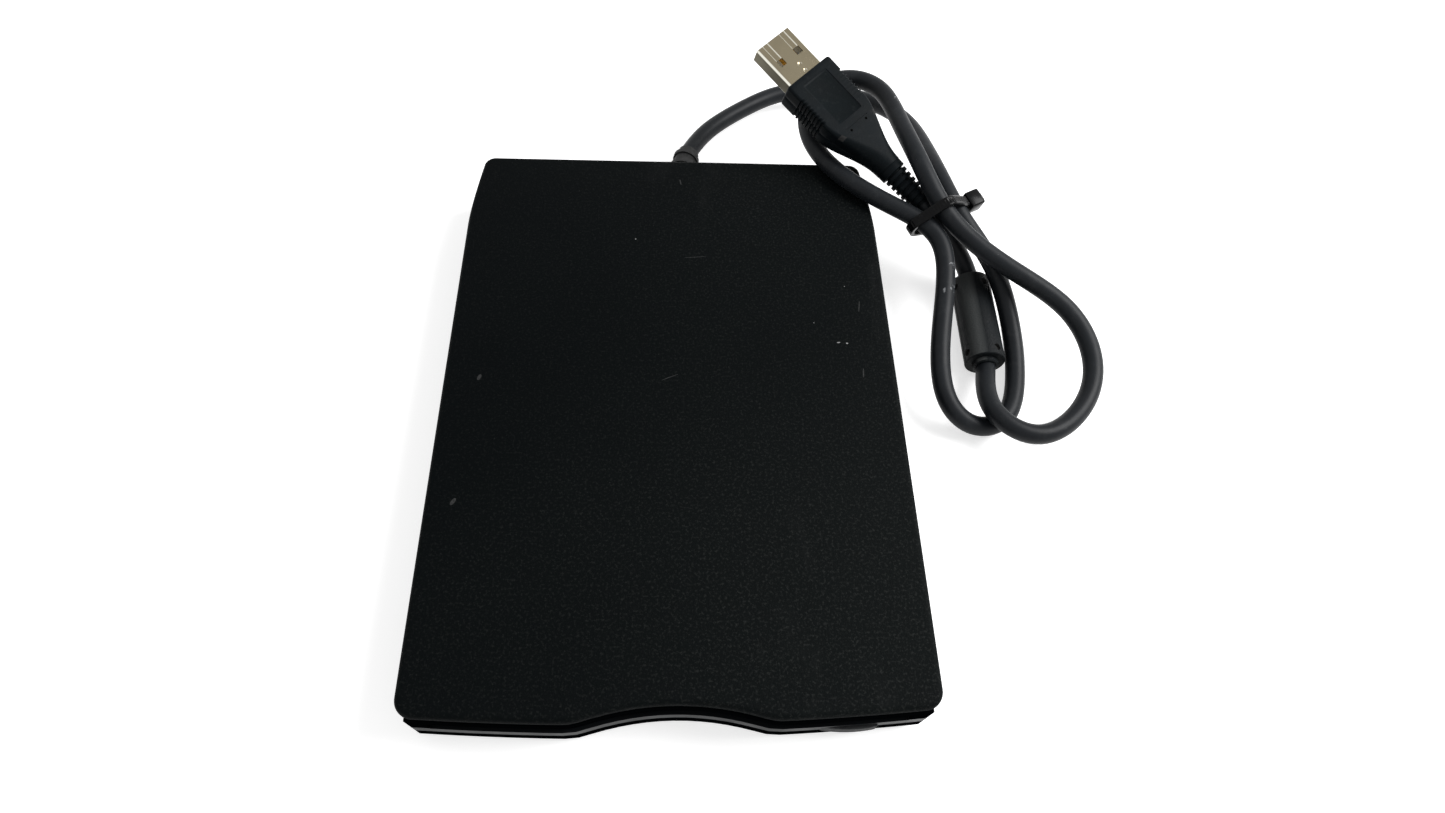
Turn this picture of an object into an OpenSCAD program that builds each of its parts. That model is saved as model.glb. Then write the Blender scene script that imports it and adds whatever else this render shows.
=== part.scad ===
// External floppy drive with its lead tied up in loops.
// Z is up, X runs to the right and the bezel faces negative Y.

/* [Case] */
// Room between a disk's side and the outside of the case
side_room = 6.5; // [6:0.1:8]
// Length of case behind the frame, for the motor and the boards
tail_l = 33.5; // [30:0.5:40]
// Room between the slot and the roof
head_room = 2.5; // [2.3:0.1:4]
// Wall of the covers
case_wall = 1.4; // [1.2:0.1:1.6]
// Height at which the covers part
split_z = 8; // [7:0.5:9]
// Radius of the front's long bow
bow_r = 650; // [500:25:900]
// Radius of the front corners in plan
front_corner_r = 3.8; // [3:0.2:5]
// Radius of the back corners in plan
back_corner_r = 3; // [2:0.5:5]
// How far each side draws in at the back
taper_in = 2.3; // [1:0.1:3]
// Length of side that draws in
taper_l = 22.5; // [16:0.5:28]
// Rounding of the top edge
top_edge_r = 1.2; // [0.8:0.1:1.3]
// Rounding of the bottom edge
bottom_edge_r = 1; // [0.6:0.1:1.2]
// Height of a foot below the bottom cover
foot_h = 0.8; // [0.6:0.1:1.2]
// Radius of a foot
foot_r = 4; // [3:0.5:5]

/* [Finger notch] */
// Half the width of the notch
notch_half = 19; // [16:0.5:22]
// Depth of the notch at its middle
notch_depth = 3.4; // [2.5:0.1:3.8]
// Softness of the notch's two ends
notch_soft = 0.25; // [0.1:0.05:0.5]

/* [Bezel] */
// Width of cover that shows at each side of the bezel
bezel_side = 2; // [1.6:0.1:2.4]
// Thickness of the bezel's face
bezel_t = 2; // [1.6:0.1:2.2]
// How far the bezel stands proud of the covers
bezel_proud = 0.3; // [0.1:0.1:0.5]
// Height of the lip that each cover keeps past the bezel
bezel_lip = 1.8; // [1.6:0.1:2]
// Depth of the slot's throat behind the bezel's foremost point
throat_l = 5.9; // [5.7:0.1:6.2]
// Wall of the slot's throat
throat_wall = 1; // [0.8:0.1:1.2]

/* [Disk] */
// Width of a disk
disk_w = 90; // [89.8:0.1:90.2]
// Thickness of a disk
disk_t = 3.3; // [3.2:0.05:3.4]
// Room above and below a disk in the slot
disk_room = 0.45; // [0.4:0.05:0.5]
// Room beside a disk in the slot
disk_side_room = 1; // [0.6:0.1:1.2]
// Height of the slot's lower lip
slot_z = 8.9; // [8.8:0.05:9]
// How far a disk sinks onto the spindle
drop = 1.8; // [1.6:0.1:1.9]

/* [Eject button] */
// Width of the button
button_w = 11; // [9:0.5:12]
// Height of the button
button_h = 3.8; // [3.4:0.1:4]
// Distance from the button's middle to the side of the case
button_inset = 17; // [15:0.5:18.5]
// How far the button stands proud of the bezel
button_proud = 0.6; // [0.3:0.1:0.8]
// Gap around the button
button_gap = 0.2; // [0.15:0.05:0.3]
// Travel of the button and its plate
eject_travel = 4.5; // [4:0.1:4.8]

/* [Spindle] */
// Distance of the spindle behind the bezel's face
spindle_in = 50.5; // [49.5:0.5:51.5]
// Radius of the rotor
rotor_r = 19; // [17:0.5:20]
// Radius of the rotor's shaft
shaft_r = 1; // [0.8:0.1:1.2]
// Radius of the spindle pin
spindle_pin_r = 1.95; // [1.8:0.05:2]
// Number of coils
coil_count = 9; // [6:3:12]

/* [Heads] */
// Distance of the outermost track behind the spindle
track_r = 39.5; // [39:0.5:40]
// Travel of the heads
head_travel = 15.5; // [14:0.5:15.5]
// Radius of the guide rod
rod_r = 1.2; // [1:0.1:1.4]
// Radius of the lead screw
screw_r = 1.3; // [1.1:0.1:1.5]
// Radius of the stepper motor
stepper_r = 5; // [4.5:0.1:5.2]
// Length of the stepper motor
stepper_l = 14; // [12:0.5:16]

/* [Lead] */
// Diameter of the lead
cord_d = 4.8; // [4.6:0.1:5]
// Diameter of the ferrite bead
bead_d = 10; // [9.6:0.2:10.4]
// Thickness of the cable tie
tie_t = 1; // [0.8:0.1:1.2]
// Width of the cable tie
tie_w = 2.5; // [2.2:0.1:3.6]

/* [Plug] */
// Width of the metal shell
shell_w = 12; // [11.8:0.1:12.2]
// Height of the metal shell
shell_h = 4.5; // [4.3:0.1:4.6]
// Wall of the metal shell
shell_wall = 0.3; // [0.25:0.05:0.4]
// Length of shell that shows
shell_l = 12.8; // [12:0.1:13.5]
// Width of the moulded body
plug_w = 15.6; // [15:0.1:16]
// Height of the moulded body
plug_h = 7.6; // [7.2:0.1:8]
// Length of the moulded body
plug_l = 32; // [30:0.5:34]
// Length of the ribbed relief
relief_l = 13; // [12:0.5:14]

/* [Hidden] */
$fn = 48;
over = 0.5;
fit = 0.05;
slide_gap = 0.2;

black_plastic = [0.06, 0.06, 0.065];
satin_plastic = [0.12, 0.12, 0.125];
zinc_steel = [0.62, 0.64, 0.66];
bright_steel = [0.78, 0.79, 0.8];
board_green = [0.05, 0.3, 0.16];
white_plastic = [0.85, 0.85, 0.82];
brass_gold = [0.8, 0.62, 0.25];
copper = [0.72, 0.4, 0.22];
rubber_black = [0.08, 0.08, 0.08];

// Places along the drive, measured from the spindle, the frame and the back wall
carrier_overhang = 7.5;
carrier_reach = track_r + carrier_overhang;
frame_reach = 12;
case_w = disk_w + 2 * side_room;
case_l = spindle_in + carrier_reach + frame_reach + tail_l;
slot_h = disk_t + 2 * disk_room;
slot_w = disk_w + 2 * disk_side_room;
slot_top = slot_z + slot_h;
case_h = slot_top + head_room + case_wall;
bezel_w = case_w - 2 * bezel_side;
face_y = -case_l / 2;
back_y = case_l / 2;
spindle_y = face_y + spindle_in;
head_y = spindle_y + track_r;
carrier_back_y = spindle_y + carrier_reach;
frame_back_y = carrier_back_y + frame_reach;
button_x = case_w / 2 - button_inset;

// The case outline, walked anticlockwise from the left end of the front
apex_y = -case_l / 2 + bezel_proud - pow(notch_half, 2) / (2 * bow_r);
corner_step = 7.5;
front_steps = 36;
taper_steps = 5;
function notch(x) = notch_soft * ln(1 + exp(notch_depth * (1 - pow(x / notch_half, 2)) / notch_soft));
function front_y(x) = apex_y + x * x / (2 * bow_r) + notch(x);
function taper(y) = taper_in * pow(max(0, (y - back_y + taper_l) / taper_l), 1.5);
function side_x(y) = case_w / 2 - taper(y);
function arc(x, y, r, from, to) =
    [for (a = [from : corner_step : to]) [x + r * cos(a), y + r * sin(a)]];
front_end_x = case_w / 2 - front_corner_r;
back_end_y = back_y - back_corner_r;
back_end_x = side_x(back_end_y) - back_corner_r;
right_side = [for (i = [0 : taper_steps - 1])
    let (y = back_y - taper_l + (back_end_y - back_y + taper_l) * i / taper_steps) [side_x(y), y]];
right_half = concat(arc(front_end_x, front_y(front_end_x) + front_corner_r, front_corner_r, -90, 0),
    right_side, arc(back_end_x, back_end_y, back_corner_r, 0, 90));
front_line = [for (i = [1 : front_steps - 1])
    let (x = front_end_x * (2 * i / front_steps - 1)) [x, front_y(x)]];
function flipped(points) =
    [for (i = [len(points) - 1 : -1 : 0]) [-points[i][0], points[i][1]]];
case_points = concat(front_line, right_half, flipped(right_half));
function unit(v) = v / norm(v);
function inward(points, i) = let (n = len(points), t = unit(points[(i + 1) % n] - points[(i + n - 1) % n]))
    [-t[1], t[0]];
function inset(points, d) = [for (i = [0 : len(points) - 1]) points[i] + inward(points, i) * d];
function at_height(points, z) = [for (p = points) [p[0], p[1], z]];

// Rings of equal length joined into one closed skin
function ring_faces(rings, n) = concat([[for (k = [0 : n - 1]) n - 1 - k]],
    [for (i = [0 : rings - 2], k = [0 : n - 1], h = [0, 1])
        let (a = i * n + k, b = i * n + (k + 1) % n) h == 0 ? [a, b, b + n] : [a, b + n, a + n]],
    [[for (k = [0 : n - 1]) (rings - 1) * n + k]]);
module skin(rings) {
    n = len(rings[0]);
    faces = ring_faces(len(rings), n);
    polyhedron(points = [for (ring = rings, p = ring) p],
        faces = [for (f = faces) [for (i = [len(f) - 1 : -1 : 0]) f[i]]],
        convexity = 6);
}

// Levels inside the case
floor_z = foot_h + case_wall;
roof_z = case_h - case_wall;
bezel_z0 = foot_h + bezel_lip;
bezel_z1 = case_h - bezel_lip;
throat_y = face_y + throat_l;
edge_step = 15;

module case_fill(d, z0, z1) {
    translate([0, 0, z0]) linear_extrude(z1 - z0) polygon(inset(case_points, d));
}
module block(x0, x1, y0, y1, z0, z1) {
    translate([x0, y0, z0]) cube([x1 - x0, y1 - y0, z1 - z0]);
}
module both_sides() {
    children();
    mirror([1, 0, 0]) children();
}

// The gap in the covers that the bezel fills
bezel_fit = 0.1;
module bezel_gap() {
    block(-bezel_w / 2 - bezel_fit, bezel_w / 2 + bezel_fit, face_y - over, throat_y,
        bezel_z0 - bezel_fit, bezel_z1 + bezel_fit);
}

// Screws, from the head's underside upwards
screw_head_r = 2.2;
screw_head_h = 1.2;
screw_body_r = 1.1;
screw_bore_r = 1.15;
module screw(l) {
    translate([0, 0, -screw_head_h]) difference() {
        cylinder(r = screw_head_r, h = screw_head_h);
        translate([0, 0, -over]) cylinder(r = screw_body_r, h = over + screw_head_h / 2);
    }
    cylinder(r = screw_body_r, h = l);
}
boss_r = 3;
case_screw_inset = 11.5;
case_screw_x = case_w / 2 - case_screw_inset;
case_screw_y = back_y - 2.5 * boss_r;
case_screw_l = 10;
boss_gap = 0.2;
head_bore_r = 2.6;
case_screw_z = foot_h + 2 * screw_head_h;

// The boot's hole in the back wall
boot_x = 2;
boot_z = split_z;
boot_neck_r = 3;

module top_cover() {
    color(black_plastic) {
        difference() {
            skin(concat([at_height(case_points, split_z)],
                [for (a = [0 : edge_step : 90]) at_height(inset(case_points, top_edge_r * (1 - cos(a))),
                    case_h - top_edge_r + top_edge_r * sin(a))]));
            case_fill(case_wall, split_z - over, roof_z);
            bezel_gap();
            translate([boot_x, back_y + over, boot_z]) rotate([90, 0, 0])
                cylinder(r = boot_neck_r + fit, h = case_wall + 2 * over);
        }
        both_sides() translate([case_screw_x, case_screw_y, split_z]) difference() {
            cylinder(r = boss_r, h = roof_z - split_z);
            translate([0, 0, -over]) cylinder(r = screw_bore_r,
                h = case_screw_l + 2 * over - split_z + case_screw_z);
        }
    }
}

// The bottom cover carries the frame and the boards on low bosses
frame_t = 0.8;
frame_rise = 1;
frame_z = floor_z + frame_rise;
frame_front_y = throat_y + boss_r - slide_gap;
frame_screw_x = 14;
frame_screw_y = frame_front_y + boss_r - slide_gap;
frame_back_screw_x = disk_w / 2 - foot_r / 2;
frame_back_screw_y = frame_back_y - boss_r - 2 * frame_rise;
board_t = 1.2;
board_rise = 2;
board_z = floor_z + board_rise;
foot_inset = 9.5;
foot_sink_room = 1;
foot_x = case_w / 2 - foot_inset;
foot_y = case_l / 2 - foot_inset - foot_r - foot_sink_room;
foot_sink = 0.5;
module frame_spots() {
    both_sides() {
        translate([frame_screw_x, frame_screw_y, 0]) children();
        translate([frame_back_screw_x, frame_back_screw_y, 0]) children();
    }
}
frame_tail_gap = 0.1;
boot_flange_t = 1.2;
frame_tail_x = 24;
board_x0 = -4;
board_x1 = case_w / 2 - case_wall - foot_r - frame_tail_gap;
main_board_y0 = frame_back_y + boss_r;
main_board_share = 0.57;
main_board_y1 = frame_back_y + main_board_share * tail_l;
link_board_gap = 3.6;
link_board_x1 = case_screw_x - boss_r - case_wall - link_board_gap;
link_board_y0 = main_board_y1 + boss_r;
link_board_y1 = back_y - case_wall - boot_flange_t - 2 * slide_gap;
board_spots = [[frame_tail_x / 2 + boss_r, main_board_y1 - boss_r],
    [board_x1 - boss_r, main_board_y0 + boss_r],
    [board_x0 + boss_r, link_board_y1 - boss_r], [link_board_x1 - boss_r, link_board_y1 - boss_r]];
module bottom_cover() {
    color(black_plastic) {
        difference() {
            skin(concat([for (a = [0 : edge_step : 90])
                at_height(inset(case_points, bottom_edge_r * (1 - sin(a))),
                foot_h + bottom_edge_r * (1 - cos(a)))], [at_height(case_points, split_z)]));
            case_fill(case_wall, floor_z, split_z + over);
            bezel_gap();
            translate([boot_x, back_y + over, boot_z]) rotate([90, 0, 0])
                cylinder(r = boot_neck_r + fit, h = case_wall + 2 * over);
            for (sx = [-1, 1], sy = [-1, 1]) translate([sx * foot_x, sy * foot_y, foot_h - over])
                cylinder(r = foot_r + fit, h = over + foot_sink);
            both_sides() translate([case_screw_x, case_screw_y, foot_h - over])
                cylinder(r = head_bore_r, h = case_screw_z - foot_h + over);
        }
        both_sides() translate([case_screw_x, case_screw_y, foot_h + foot_sink]) difference() {
            cylinder(r = boss_r + case_wall, h = split_z - foot_h - foot_sink - boss_gap);
            translate([0, 0, -over]) cylinder(r = head_bore_r,
                h = case_screw_z - foot_h - foot_sink + over);
            cylinder(r = screw_bore_r, h = split_z);
        }
        frame_spots() translate([0, 0, floor_z]) difference() {
            cylinder(r = boss_r, h = frame_z - floor_z);
            cylinder(r = screw_body_r, h = frame_z);
        }
        for (p = board_spots) translate([p[0], p[1], floor_z])
            cylinder(r = boss_r / 2, h = board_z - floor_z);
    }
}

module rubber_feet() {
    color(rubber_black) for (sx = [-1, 1], sy = [-1, 1]) translate([sx * foot_x, sy * foot_y, 0])
        rotate_extrude() polygon([[0, 0], [foot_r - foot_h / 2, 0], [foot_r, foot_h / 2],
            [foot_r, foot_h + foot_sink], [0, foot_h + foot_sink]]);
}

module case_screws() {
    color(zinc_steel) both_sides() translate([case_screw_x, case_screw_y, case_screw_z])
        screw(case_screw_l);
}

// The door's pins turn in the bezel's two end ribs
door_t = 1;
door_pin_r = 0.5;
door_y = throat_y + slide_gap + door_t / 2;
door_z = slot_top + throat_wall - door_t / 5;
rib_x0 = slot_w / 2 + throat_wall + 6 * fit;
rib_back_y = door_y + 3 * door_pin_r;
door_side_gap = 0.4;
button_z = slot_z - throat_wall - slide_gap - button_h;
module front_strip(d0, d1) {
    strip = [for (p = concat([[-bezel_w / 2, front_y(bezel_w / 2)]], front_line,
        [[bezel_w / 2, front_y(bezel_w / 2)]])) p];
    polygon(concat([for (p = strip) [p[0], p[1] + d0]],
        [for (i = [len(strip) - 1 : -1 : 0]) [strip[i][0], strip[i][1] + d1]]));
}
module front_bezel() {
    color(satin_plastic) difference() {
        union() {
            translate([0, 0, bezel_z0]) linear_extrude(bezel_z1 - bezel_z0)
                front_strip(-bezel_proud, bezel_t - bezel_proud);
            intersection() {
                block(-rib_x0, rib_x0, face_y, throat_y, slot_z - throat_wall, slot_top + throat_wall);
                translate([0, 0, bezel_z0]) linear_extrude(bezel_z1 - bezel_z0)
                    front_strip(0, 2 * throat_l);
            }
            both_sides() intersection() {
                block(rib_x0, bezel_w / 2, face_y, rib_back_y, bezel_z0, bezel_z1);
                translate([0, 0, bezel_z0]) linear_extrude(bezel_z1 - bezel_z0)
                    front_strip(0, 2 * throat_l);
            }
        }
        block(-slot_w / 2, slot_w / 2, face_y - over, throat_y + over, slot_z, slot_top);
        block(button_x - button_w / 2 - button_gap, button_x + button_w / 2 + button_gap, face_y - over,
            throat_y + over, button_z - button_gap, button_z + button_h + button_gap / 2);
        translate([-bezel_w / 2 - over, door_y, door_z]) rotate([0, 90, 0])
            cylinder(r = door_pin_r + fit, h = bezel_w + 2 * over);
    }
}
module slot_door() {
    color(black_plastic) {
        block(-rib_x0 + door_side_gap, rib_x0 - door_side_gap, door_y - door_t / 2, door_y + door_t / 2,
            slot_z - throat_wall / 2, door_z);
        translate([-bezel_w / 2 + door_side_gap, door_y, door_z]) rotate([0, 90, 0])
            cylinder(r = door_pin_r, h = bezel_w - 2 * door_side_gap);
    }
}

// The carrier's channels run beside the eject plate's ears, and these beside the frame's walls
channel_t = 0.6;
channel_x = disk_w / 2 + disk_room;
ear_x = channel_x + channel_t + slide_gap;
ear_t = 0.6;
wall_x = ear_x + ear_t + slide_gap;
carrier_z0 = slot_z - channel_t;
carrier_top = slot_top + slide_gap;
carrier_front_reach = 35;
carrier_front_y = spindle_y - carrier_front_reach;
pin_r = 0.7;
pin_z = slot_z + slot_h / 2;
pin_front_reach = 23;
pin_back_reach = 35;
pin_ys = [spindle_y - pin_front_reach, spindle_y + pin_back_reach];
frame_wall_top = slot_top;
// A slot with round ends for a pin, along X, from one place to another
module pin_slot(x0, x1, y, z, dy, dz) {
    l = norm([dy, dz]);
    translate([x0, y, z]) rotate([atan2(dz, dy), 0, 0]) rotate([0, 90, 0]) {
        cylinder(r = pin_r + fit, h = x1 - x0);
        translate([0, l, 0]) cylinder(r = pin_r + fit, h = x1 - x0);
        translate([-pin_r - fit, 0, 0]) cube([2 * (pin_r + fit), l, x1 - x0]);
    }
}

// The eject plate slides on the frame's floor under four headed studs
plate_t = 0.6;
plate_z = frame_z + frame_t + slide_gap;
plate_setback = 4;
plate_front_y = carrier_front_y + plate_setback;
plate_rail_w = 18;
plate_rail_x = disk_w / 2 - plate_rail_w;
plate_bridge_l = 6;
stud_r = 1;
stud_head_r = 1.9;
stud_head_h = 0.5;
stud_inset = 9;
stud_x = disk_w / 2 - stud_inset;
stud_front_reach = 15;
stud_back_reach = 27;
stud_ys = [spindle_y - stud_front_reach, spindle_y + stud_back_reach];
// Flanges and windows of the frame
rod_x = 9;
rod_rise = 2.2;
rod_z = frame_z + frame_t + rod_rise;
rod_lead = 13.5;
rod_front_y = head_y - rod_lead;
rod_tail = 5.5;
rod_back_y = frame_back_y + rod_tail;
tab_t = 1.2;
tab_w = 6;
bearing_r = 3;
frame_tail_y = rod_back_y + tab_t;
screw_x = -16;
screw_z = frame_z + frame_t + stepper_r + slide_gap;
carriage_setback = 5.5;
screw_front_y = head_y + carriage_setback;
stepper_y = frame_tail_y;
module drive_frame() {
    color(zinc_steel) {
        difference() {
            union() {
                block(-wall_x - frame_t, wall_x + frame_t, frame_front_y, frame_back_y, frame_z,
                    frame_z + frame_t);
                block(-frame_tail_x, frame_tail_x / 2, frame_back_y, frame_tail_y, frame_z,
                    frame_z + frame_t);
                both_sides() block(wall_x, wall_x + frame_t, frame_front_y, frame_back_y, frame_z,
                    frame_wall_top);
            }
            frame_spots() translate([0, 0, frame_z - over])
                cylinder(r = screw_bore_r, h = frame_t + 2 * over);
            both_sides() for (y = pin_ys)
                pin_slot(wall_x - over, wall_x + frame_t + over, y, pin_z, 0, -drop);
            translate([0, spindle_y, frame_z - over]) cylinder(r = bearing_r + fit, h = frame_t + 2 * over);
        }
        both_sides() for (y = stud_ys) translate([stud_x, y, frame_z + frame_t]) {
            cylinder(r = stud_r, h = plate_t + 2 * slide_gap);
            translate([0, 0, plate_t + 2 * slide_gap]) cylinder(r = stud_head_r, h = stud_head_h);
        }
        for (y = [rod_front_y, rod_back_y]) difference() {
            block(rod_x - tab_w / 2, rod_x + tab_w / 2, y, y + tab_t, frame_z + frame_t, rod_z + 2 * rod_r);
            translate([rod_x, y - over, rod_z]) rotate([-90, 0, 0])
                cylinder(r = rod_r + fit / 5, h = tab_t + 2 * over);
        }
        difference() {
            block(screw_x - stepper_r, screw_x + stepper_r, frame_tail_y - tab_t, frame_tail_y,
                frame_z + frame_t, screw_z + stepper_r);
            translate([screw_x, frame_tail_y - tab_t - over, screw_z]) rotate([-90, 0, 0])
                cylinder(r = screw_r + slide_gap, h = tab_t + 2 * over);
        }
    }
}
module frame_screws() {
    color(bright_steel) frame_spots() translate([0, 0, frame_z + frame_t]) rotate([180, 0, 0])
        screw(frame_z + frame_t - floor_z);
}

module eject_plate() {
    slot_l = eject_travel;
    color(bright_steel) difference() {
        union() {
            block(-ear_x - ear_t, ear_x + ear_t, plate_front_y, carrier_back_y - eject_travel, plate_z,
                plate_z + plate_t);
            both_sides() block(ear_x, ear_x + ear_t, plate_front_y, carrier_back_y - eject_travel, plate_z,
                pin_z + 2 * pin_r);
            block(button_x - button_w / 4, button_x + button_w / 4, throat_y + 2 * eject_travel,
                plate_front_y + over, plate_z, plate_z + plate_t);
        }
        block(-plate_rail_x, plate_rail_x, plate_front_y + plate_bridge_l, carrier_back_y, plate_z - over,
            plate_z + plate_t + over);
        block(sensor_x - sensor_w / 2 - slide_gap, sensor_x + sensor_w / 2 + slide_gap,
            sensor_y - sensor_l / 2 - slide_gap,
            carrier_back_y, plate_z - over, plate_z + plate_t + over);
        both_sides() {
            for (y = stud_ys) translate([stud_x, y, plate_z - over]) {
                cylinder(r = stud_r + fit, h = plate_t + 2 * over);
                translate([0, slot_l, 0]) cylinder(r = stud_r + fit, h = plate_t + 2 * over);
                translate([-stud_r - fit, 0, 0]) cube([2 * (stud_r + fit), slot_l, plate_t + 2 * over]);
            }
            for (y = pin_ys) pin_slot(ear_x - over, ear_x + ear_t + over, y, pin_z, eject_travel, -drop);
        }
    }
}

// The button's face bulges in plan and its edges are rounded
button_edge_r = 0.4;
button_nose_l = 4;
button_bulge = 0.5;
button_steps = 8;
function button_outline(d) = concat(
    [for (i = [0 : button_steps]) let (u = 2 * i / button_steps - 1, x = button_x + u * (button_w / 2 - d))
        [x, front_y(button_x) - bezel_proud - button_proud + d + button_bulge * u * u]],
    [[button_x + button_w / 2 - d, face_y + button_nose_l],
        [button_x - button_w / 2 + d, face_y + button_nose_l]]);
stem_h = 1.6;
module eject_button() {
    z1 = button_z + button_h;
    color(satin_plastic) {
        skin(concat(
            [for (a = [0 : edge_step : 90]) at_height(button_outline(button_edge_r * (1 - sin(a))),
                button_z + button_edge_r * (1 - cos(a)))],
            [for (a = [90 : -edge_step : 0]) at_height(button_outline(button_edge_r * (1 - sin(a))),
                z1 - button_edge_r * (1 - cos(a)))]));
        block(button_x - button_w / 4, button_x + button_w / 4, face_y + button_nose_l - button_edge_r,
            plate_front_y - slide_gap,
            plate_z + plate_t, plate_z + plate_t + stem_h);
    }
}

// The carrier is a folded tray whose top has a window for the heads
head_window_x = 7.5;
head_window_reach = 21.5;
head_window_y = head_y - head_window_reach;
lip_w = 3;
lever_inset = 13;
lever_x = disk_w / 2 - lever_inset;
lever_setback = 4;
lever_y = carrier_back_y - lever_setback;
finger_reach = 21;
finger_r = 1.1;
finger_rest = 215;
finger_swing = 50;
swing_before = 25;
swing_after = 10;
carrier_hole_r = 9;
carrier_hole_x = 21;
module disk_carrier() {
    y0 = carrier_front_y;
    y1 = carrier_back_y;
    color(bright_steel) {
        difference() {
            union() {
                block(-channel_x - channel_t, channel_x + channel_t, y0, y1, carrier_top,
                    carrier_top + channel_t);
                both_sides() {
                    block(channel_x, channel_x + channel_t, y0, y1, carrier_z0, carrier_top + channel_t);
                    block(channel_x - lip_w, channel_x + channel_t, y0, y1, carrier_z0,
                        carrier_z0 + channel_t);
                }
            }
            block(-head_window_x, head_window_x, head_window_y, y1 + over, carrier_top - over,
                carrier_top + channel_t + over);
            translate([lever_x, lever_y, carrier_top - over])
                rotate([0, 0, finger_rest - finger_swing - swing_before])
                rotate_extrude(angle = finger_swing + swing_before + swing_after)
                translate([finger_reach - finger_r - slide_gap, 0])
                    square([2 * (finger_r + slide_gap), channel_t + 2 * over]);
            both_sides() translate([carrier_hole_x, spindle_y, carrier_top - over])
                cylinder(r = carrier_hole_r, h = channel_t + 2 * over);
        }
        both_sides() for (y = pin_ys) translate([channel_x + channel_t, y, pin_z]) rotate([0, 90, 0])
            cylinder(r = pin_r, h = wall_x + frame_t - channel_x - channel_t);
        translate([lever_x, lever_y, carrier_top + channel_t])
            cylinder(r = finger_r, h = lever_t + 2 * fit);
    }
}
lever_t = 0.8;
lever_hub_r = 2.8;
lever_arm_w = 3.2;
module latch_lever() {
    z = carrier_top + channel_t + fit;
    foot_z = slot_z + disk_t / 3;
    color(zinc_steel) translate([lever_x, lever_y, 0]) rotate([0, 0, finger_rest]) {
        difference() {
            union() {
                translate([0, 0, z]) cylinder(r = lever_hub_r, h = lever_t);
                translate([0, -lever_arm_w / 2, z]) cube([finger_reach, lever_arm_w, lever_t]);
                translate([finger_reach, 0, z]) cylinder(r = lever_arm_w / 2, h = lever_t);
            }
            translate([0, 0, z - over]) cylinder(r = finger_r + fit, h = lever_t + 2 * over);
        }
        translate([finger_reach, 0, foot_z]) cylinder(r = finger_r, h = z + lever_t - foot_z);
    }
}

// The spindle motor: a stator on the frame and a shallow rotor above it
stator_z = frame_z + frame_t;
stator_t = 0.6;
coil_r = 2.2;
coil_h = 1.2;
coil_ring_r = 11;
rotor_z = stator_z + stator_t + coil_h + slide_gap;
rotor_t = 0.6;
skirt_h = 1;
hub_r = 12;
hub_t = 0.5;
bearing_top = rotor_z - slide_gap;
drive_pin_r = 1.2;
drive_pin_reach = 10;
module spindle_stator() {
    color(board_green) translate([0, spindle_y, stator_z]) difference() {
        cylinder(r = rotor_r + 1, h = stator_t);
        translate([0, 0, -over]) cylinder(r = bearing_r, h = stator_t + 2 * over);
    }
    color(copper) translate([0, spindle_y, stator_z + stator_t]) for (i = [0 : coil_count - 1])
        rotate([0, 0, 360 * i / coil_count]) translate([coil_ring_r, 0, 0]) difference() {
            cylinder(r = coil_r, h = coil_h);
            translate([0, 0, -over]) cylinder(r = coil_r / 3, h = coil_h + 2 * over);
        }
    color(brass_gold) translate([0, spindle_y, frame_z]) difference() {
        cylinder(r = bearing_r, h = bearing_top - frame_z);
        translate([0, 0, frame_t]) cylinder(r = shaft_r + fit, h = bearing_top);
    }
}
module spindle_rotor() {
    pin_top = slot_z - slide_gap / 2;
    color(bright_steel) translate([0, spindle_y, 0]) {
        translate([0, 0, rotor_z]) cylinder(r = rotor_r, h = rotor_t);
        translate([0, 0, rotor_z - skirt_h]) difference() {
            cylinder(r = rotor_r, h = skirt_h);
            translate([0, 0, -over]) cylinder(r = rotor_r - rotor_t, h = skirt_h + 2 * over);
        }
        translate([0, 0, stator_z + slide_gap]) cylinder(r = shaft_r, h = rotor_z - stator_z - slide_gap);
        translate([0, 0, rotor_z + rotor_t]) cylinder(r = hub_r, h = hub_t);
        translate([0, 0, rotor_z + rotor_t + hub_t])
            cylinder(r = spindle_pin_r, h = pin_top - rotor_z - rotor_t - hub_t);
        translate([drive_pin_reach, 0, rotor_z + rotor_t + hub_t])
            cylinder(r = drive_pin_r, h = pin_top - slide_gap - rotor_z - rotor_t - hub_t);
    }
}

// The head carriage slides on the rod and is driven by the lead screw
carriage_z0 = rod_z - rod_r - rod_r / 2 + fit * 2;
carriage_z1 = slot_z - drop + disk_t / 3 - slide_gap;
carriage_l = 18;
carriage_y0 = head_y + carriage_setback;
carriage_y1 = carriage_y0 + carriage_l;
head_arm_w = 9;
head_pad = 4;
arm_l = 9.5;
arm_pivot_y = head_y + arm_l;
arm_share = 0.6;
arm_t = arm_share * (head_room - slide_gap - channel_t);
arm_pivot_r = arm_share * arm_t;
arm_z = carrier_top + channel_t + arm_t / 2;
arm_fork_t = 1.2;
arm_fork_l = 1.6;
nut_l = 2.2;
nut_wall = 0.8;
nut_y0 = carriage_y1 - nut_l;
module guide_rod() {
    color(bright_steel) translate([rod_x, rod_front_y, rod_z]) rotate([-90, 0, 0])
        cylinder(r = rod_r, h = rod_back_y + tab_t - rod_front_y);
}
module stepper_motor() {
    color(zinc_steel) translate([screw_x, stepper_y, screw_z]) rotate([-90, 0, 0]) difference() {
        cylinder(r = stepper_r, h = stepper_l);
        translate([0, 0, -over]) cylinder(r = screw_r / 2 + fit, h = stepper_l / 2);
    }
}
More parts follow.
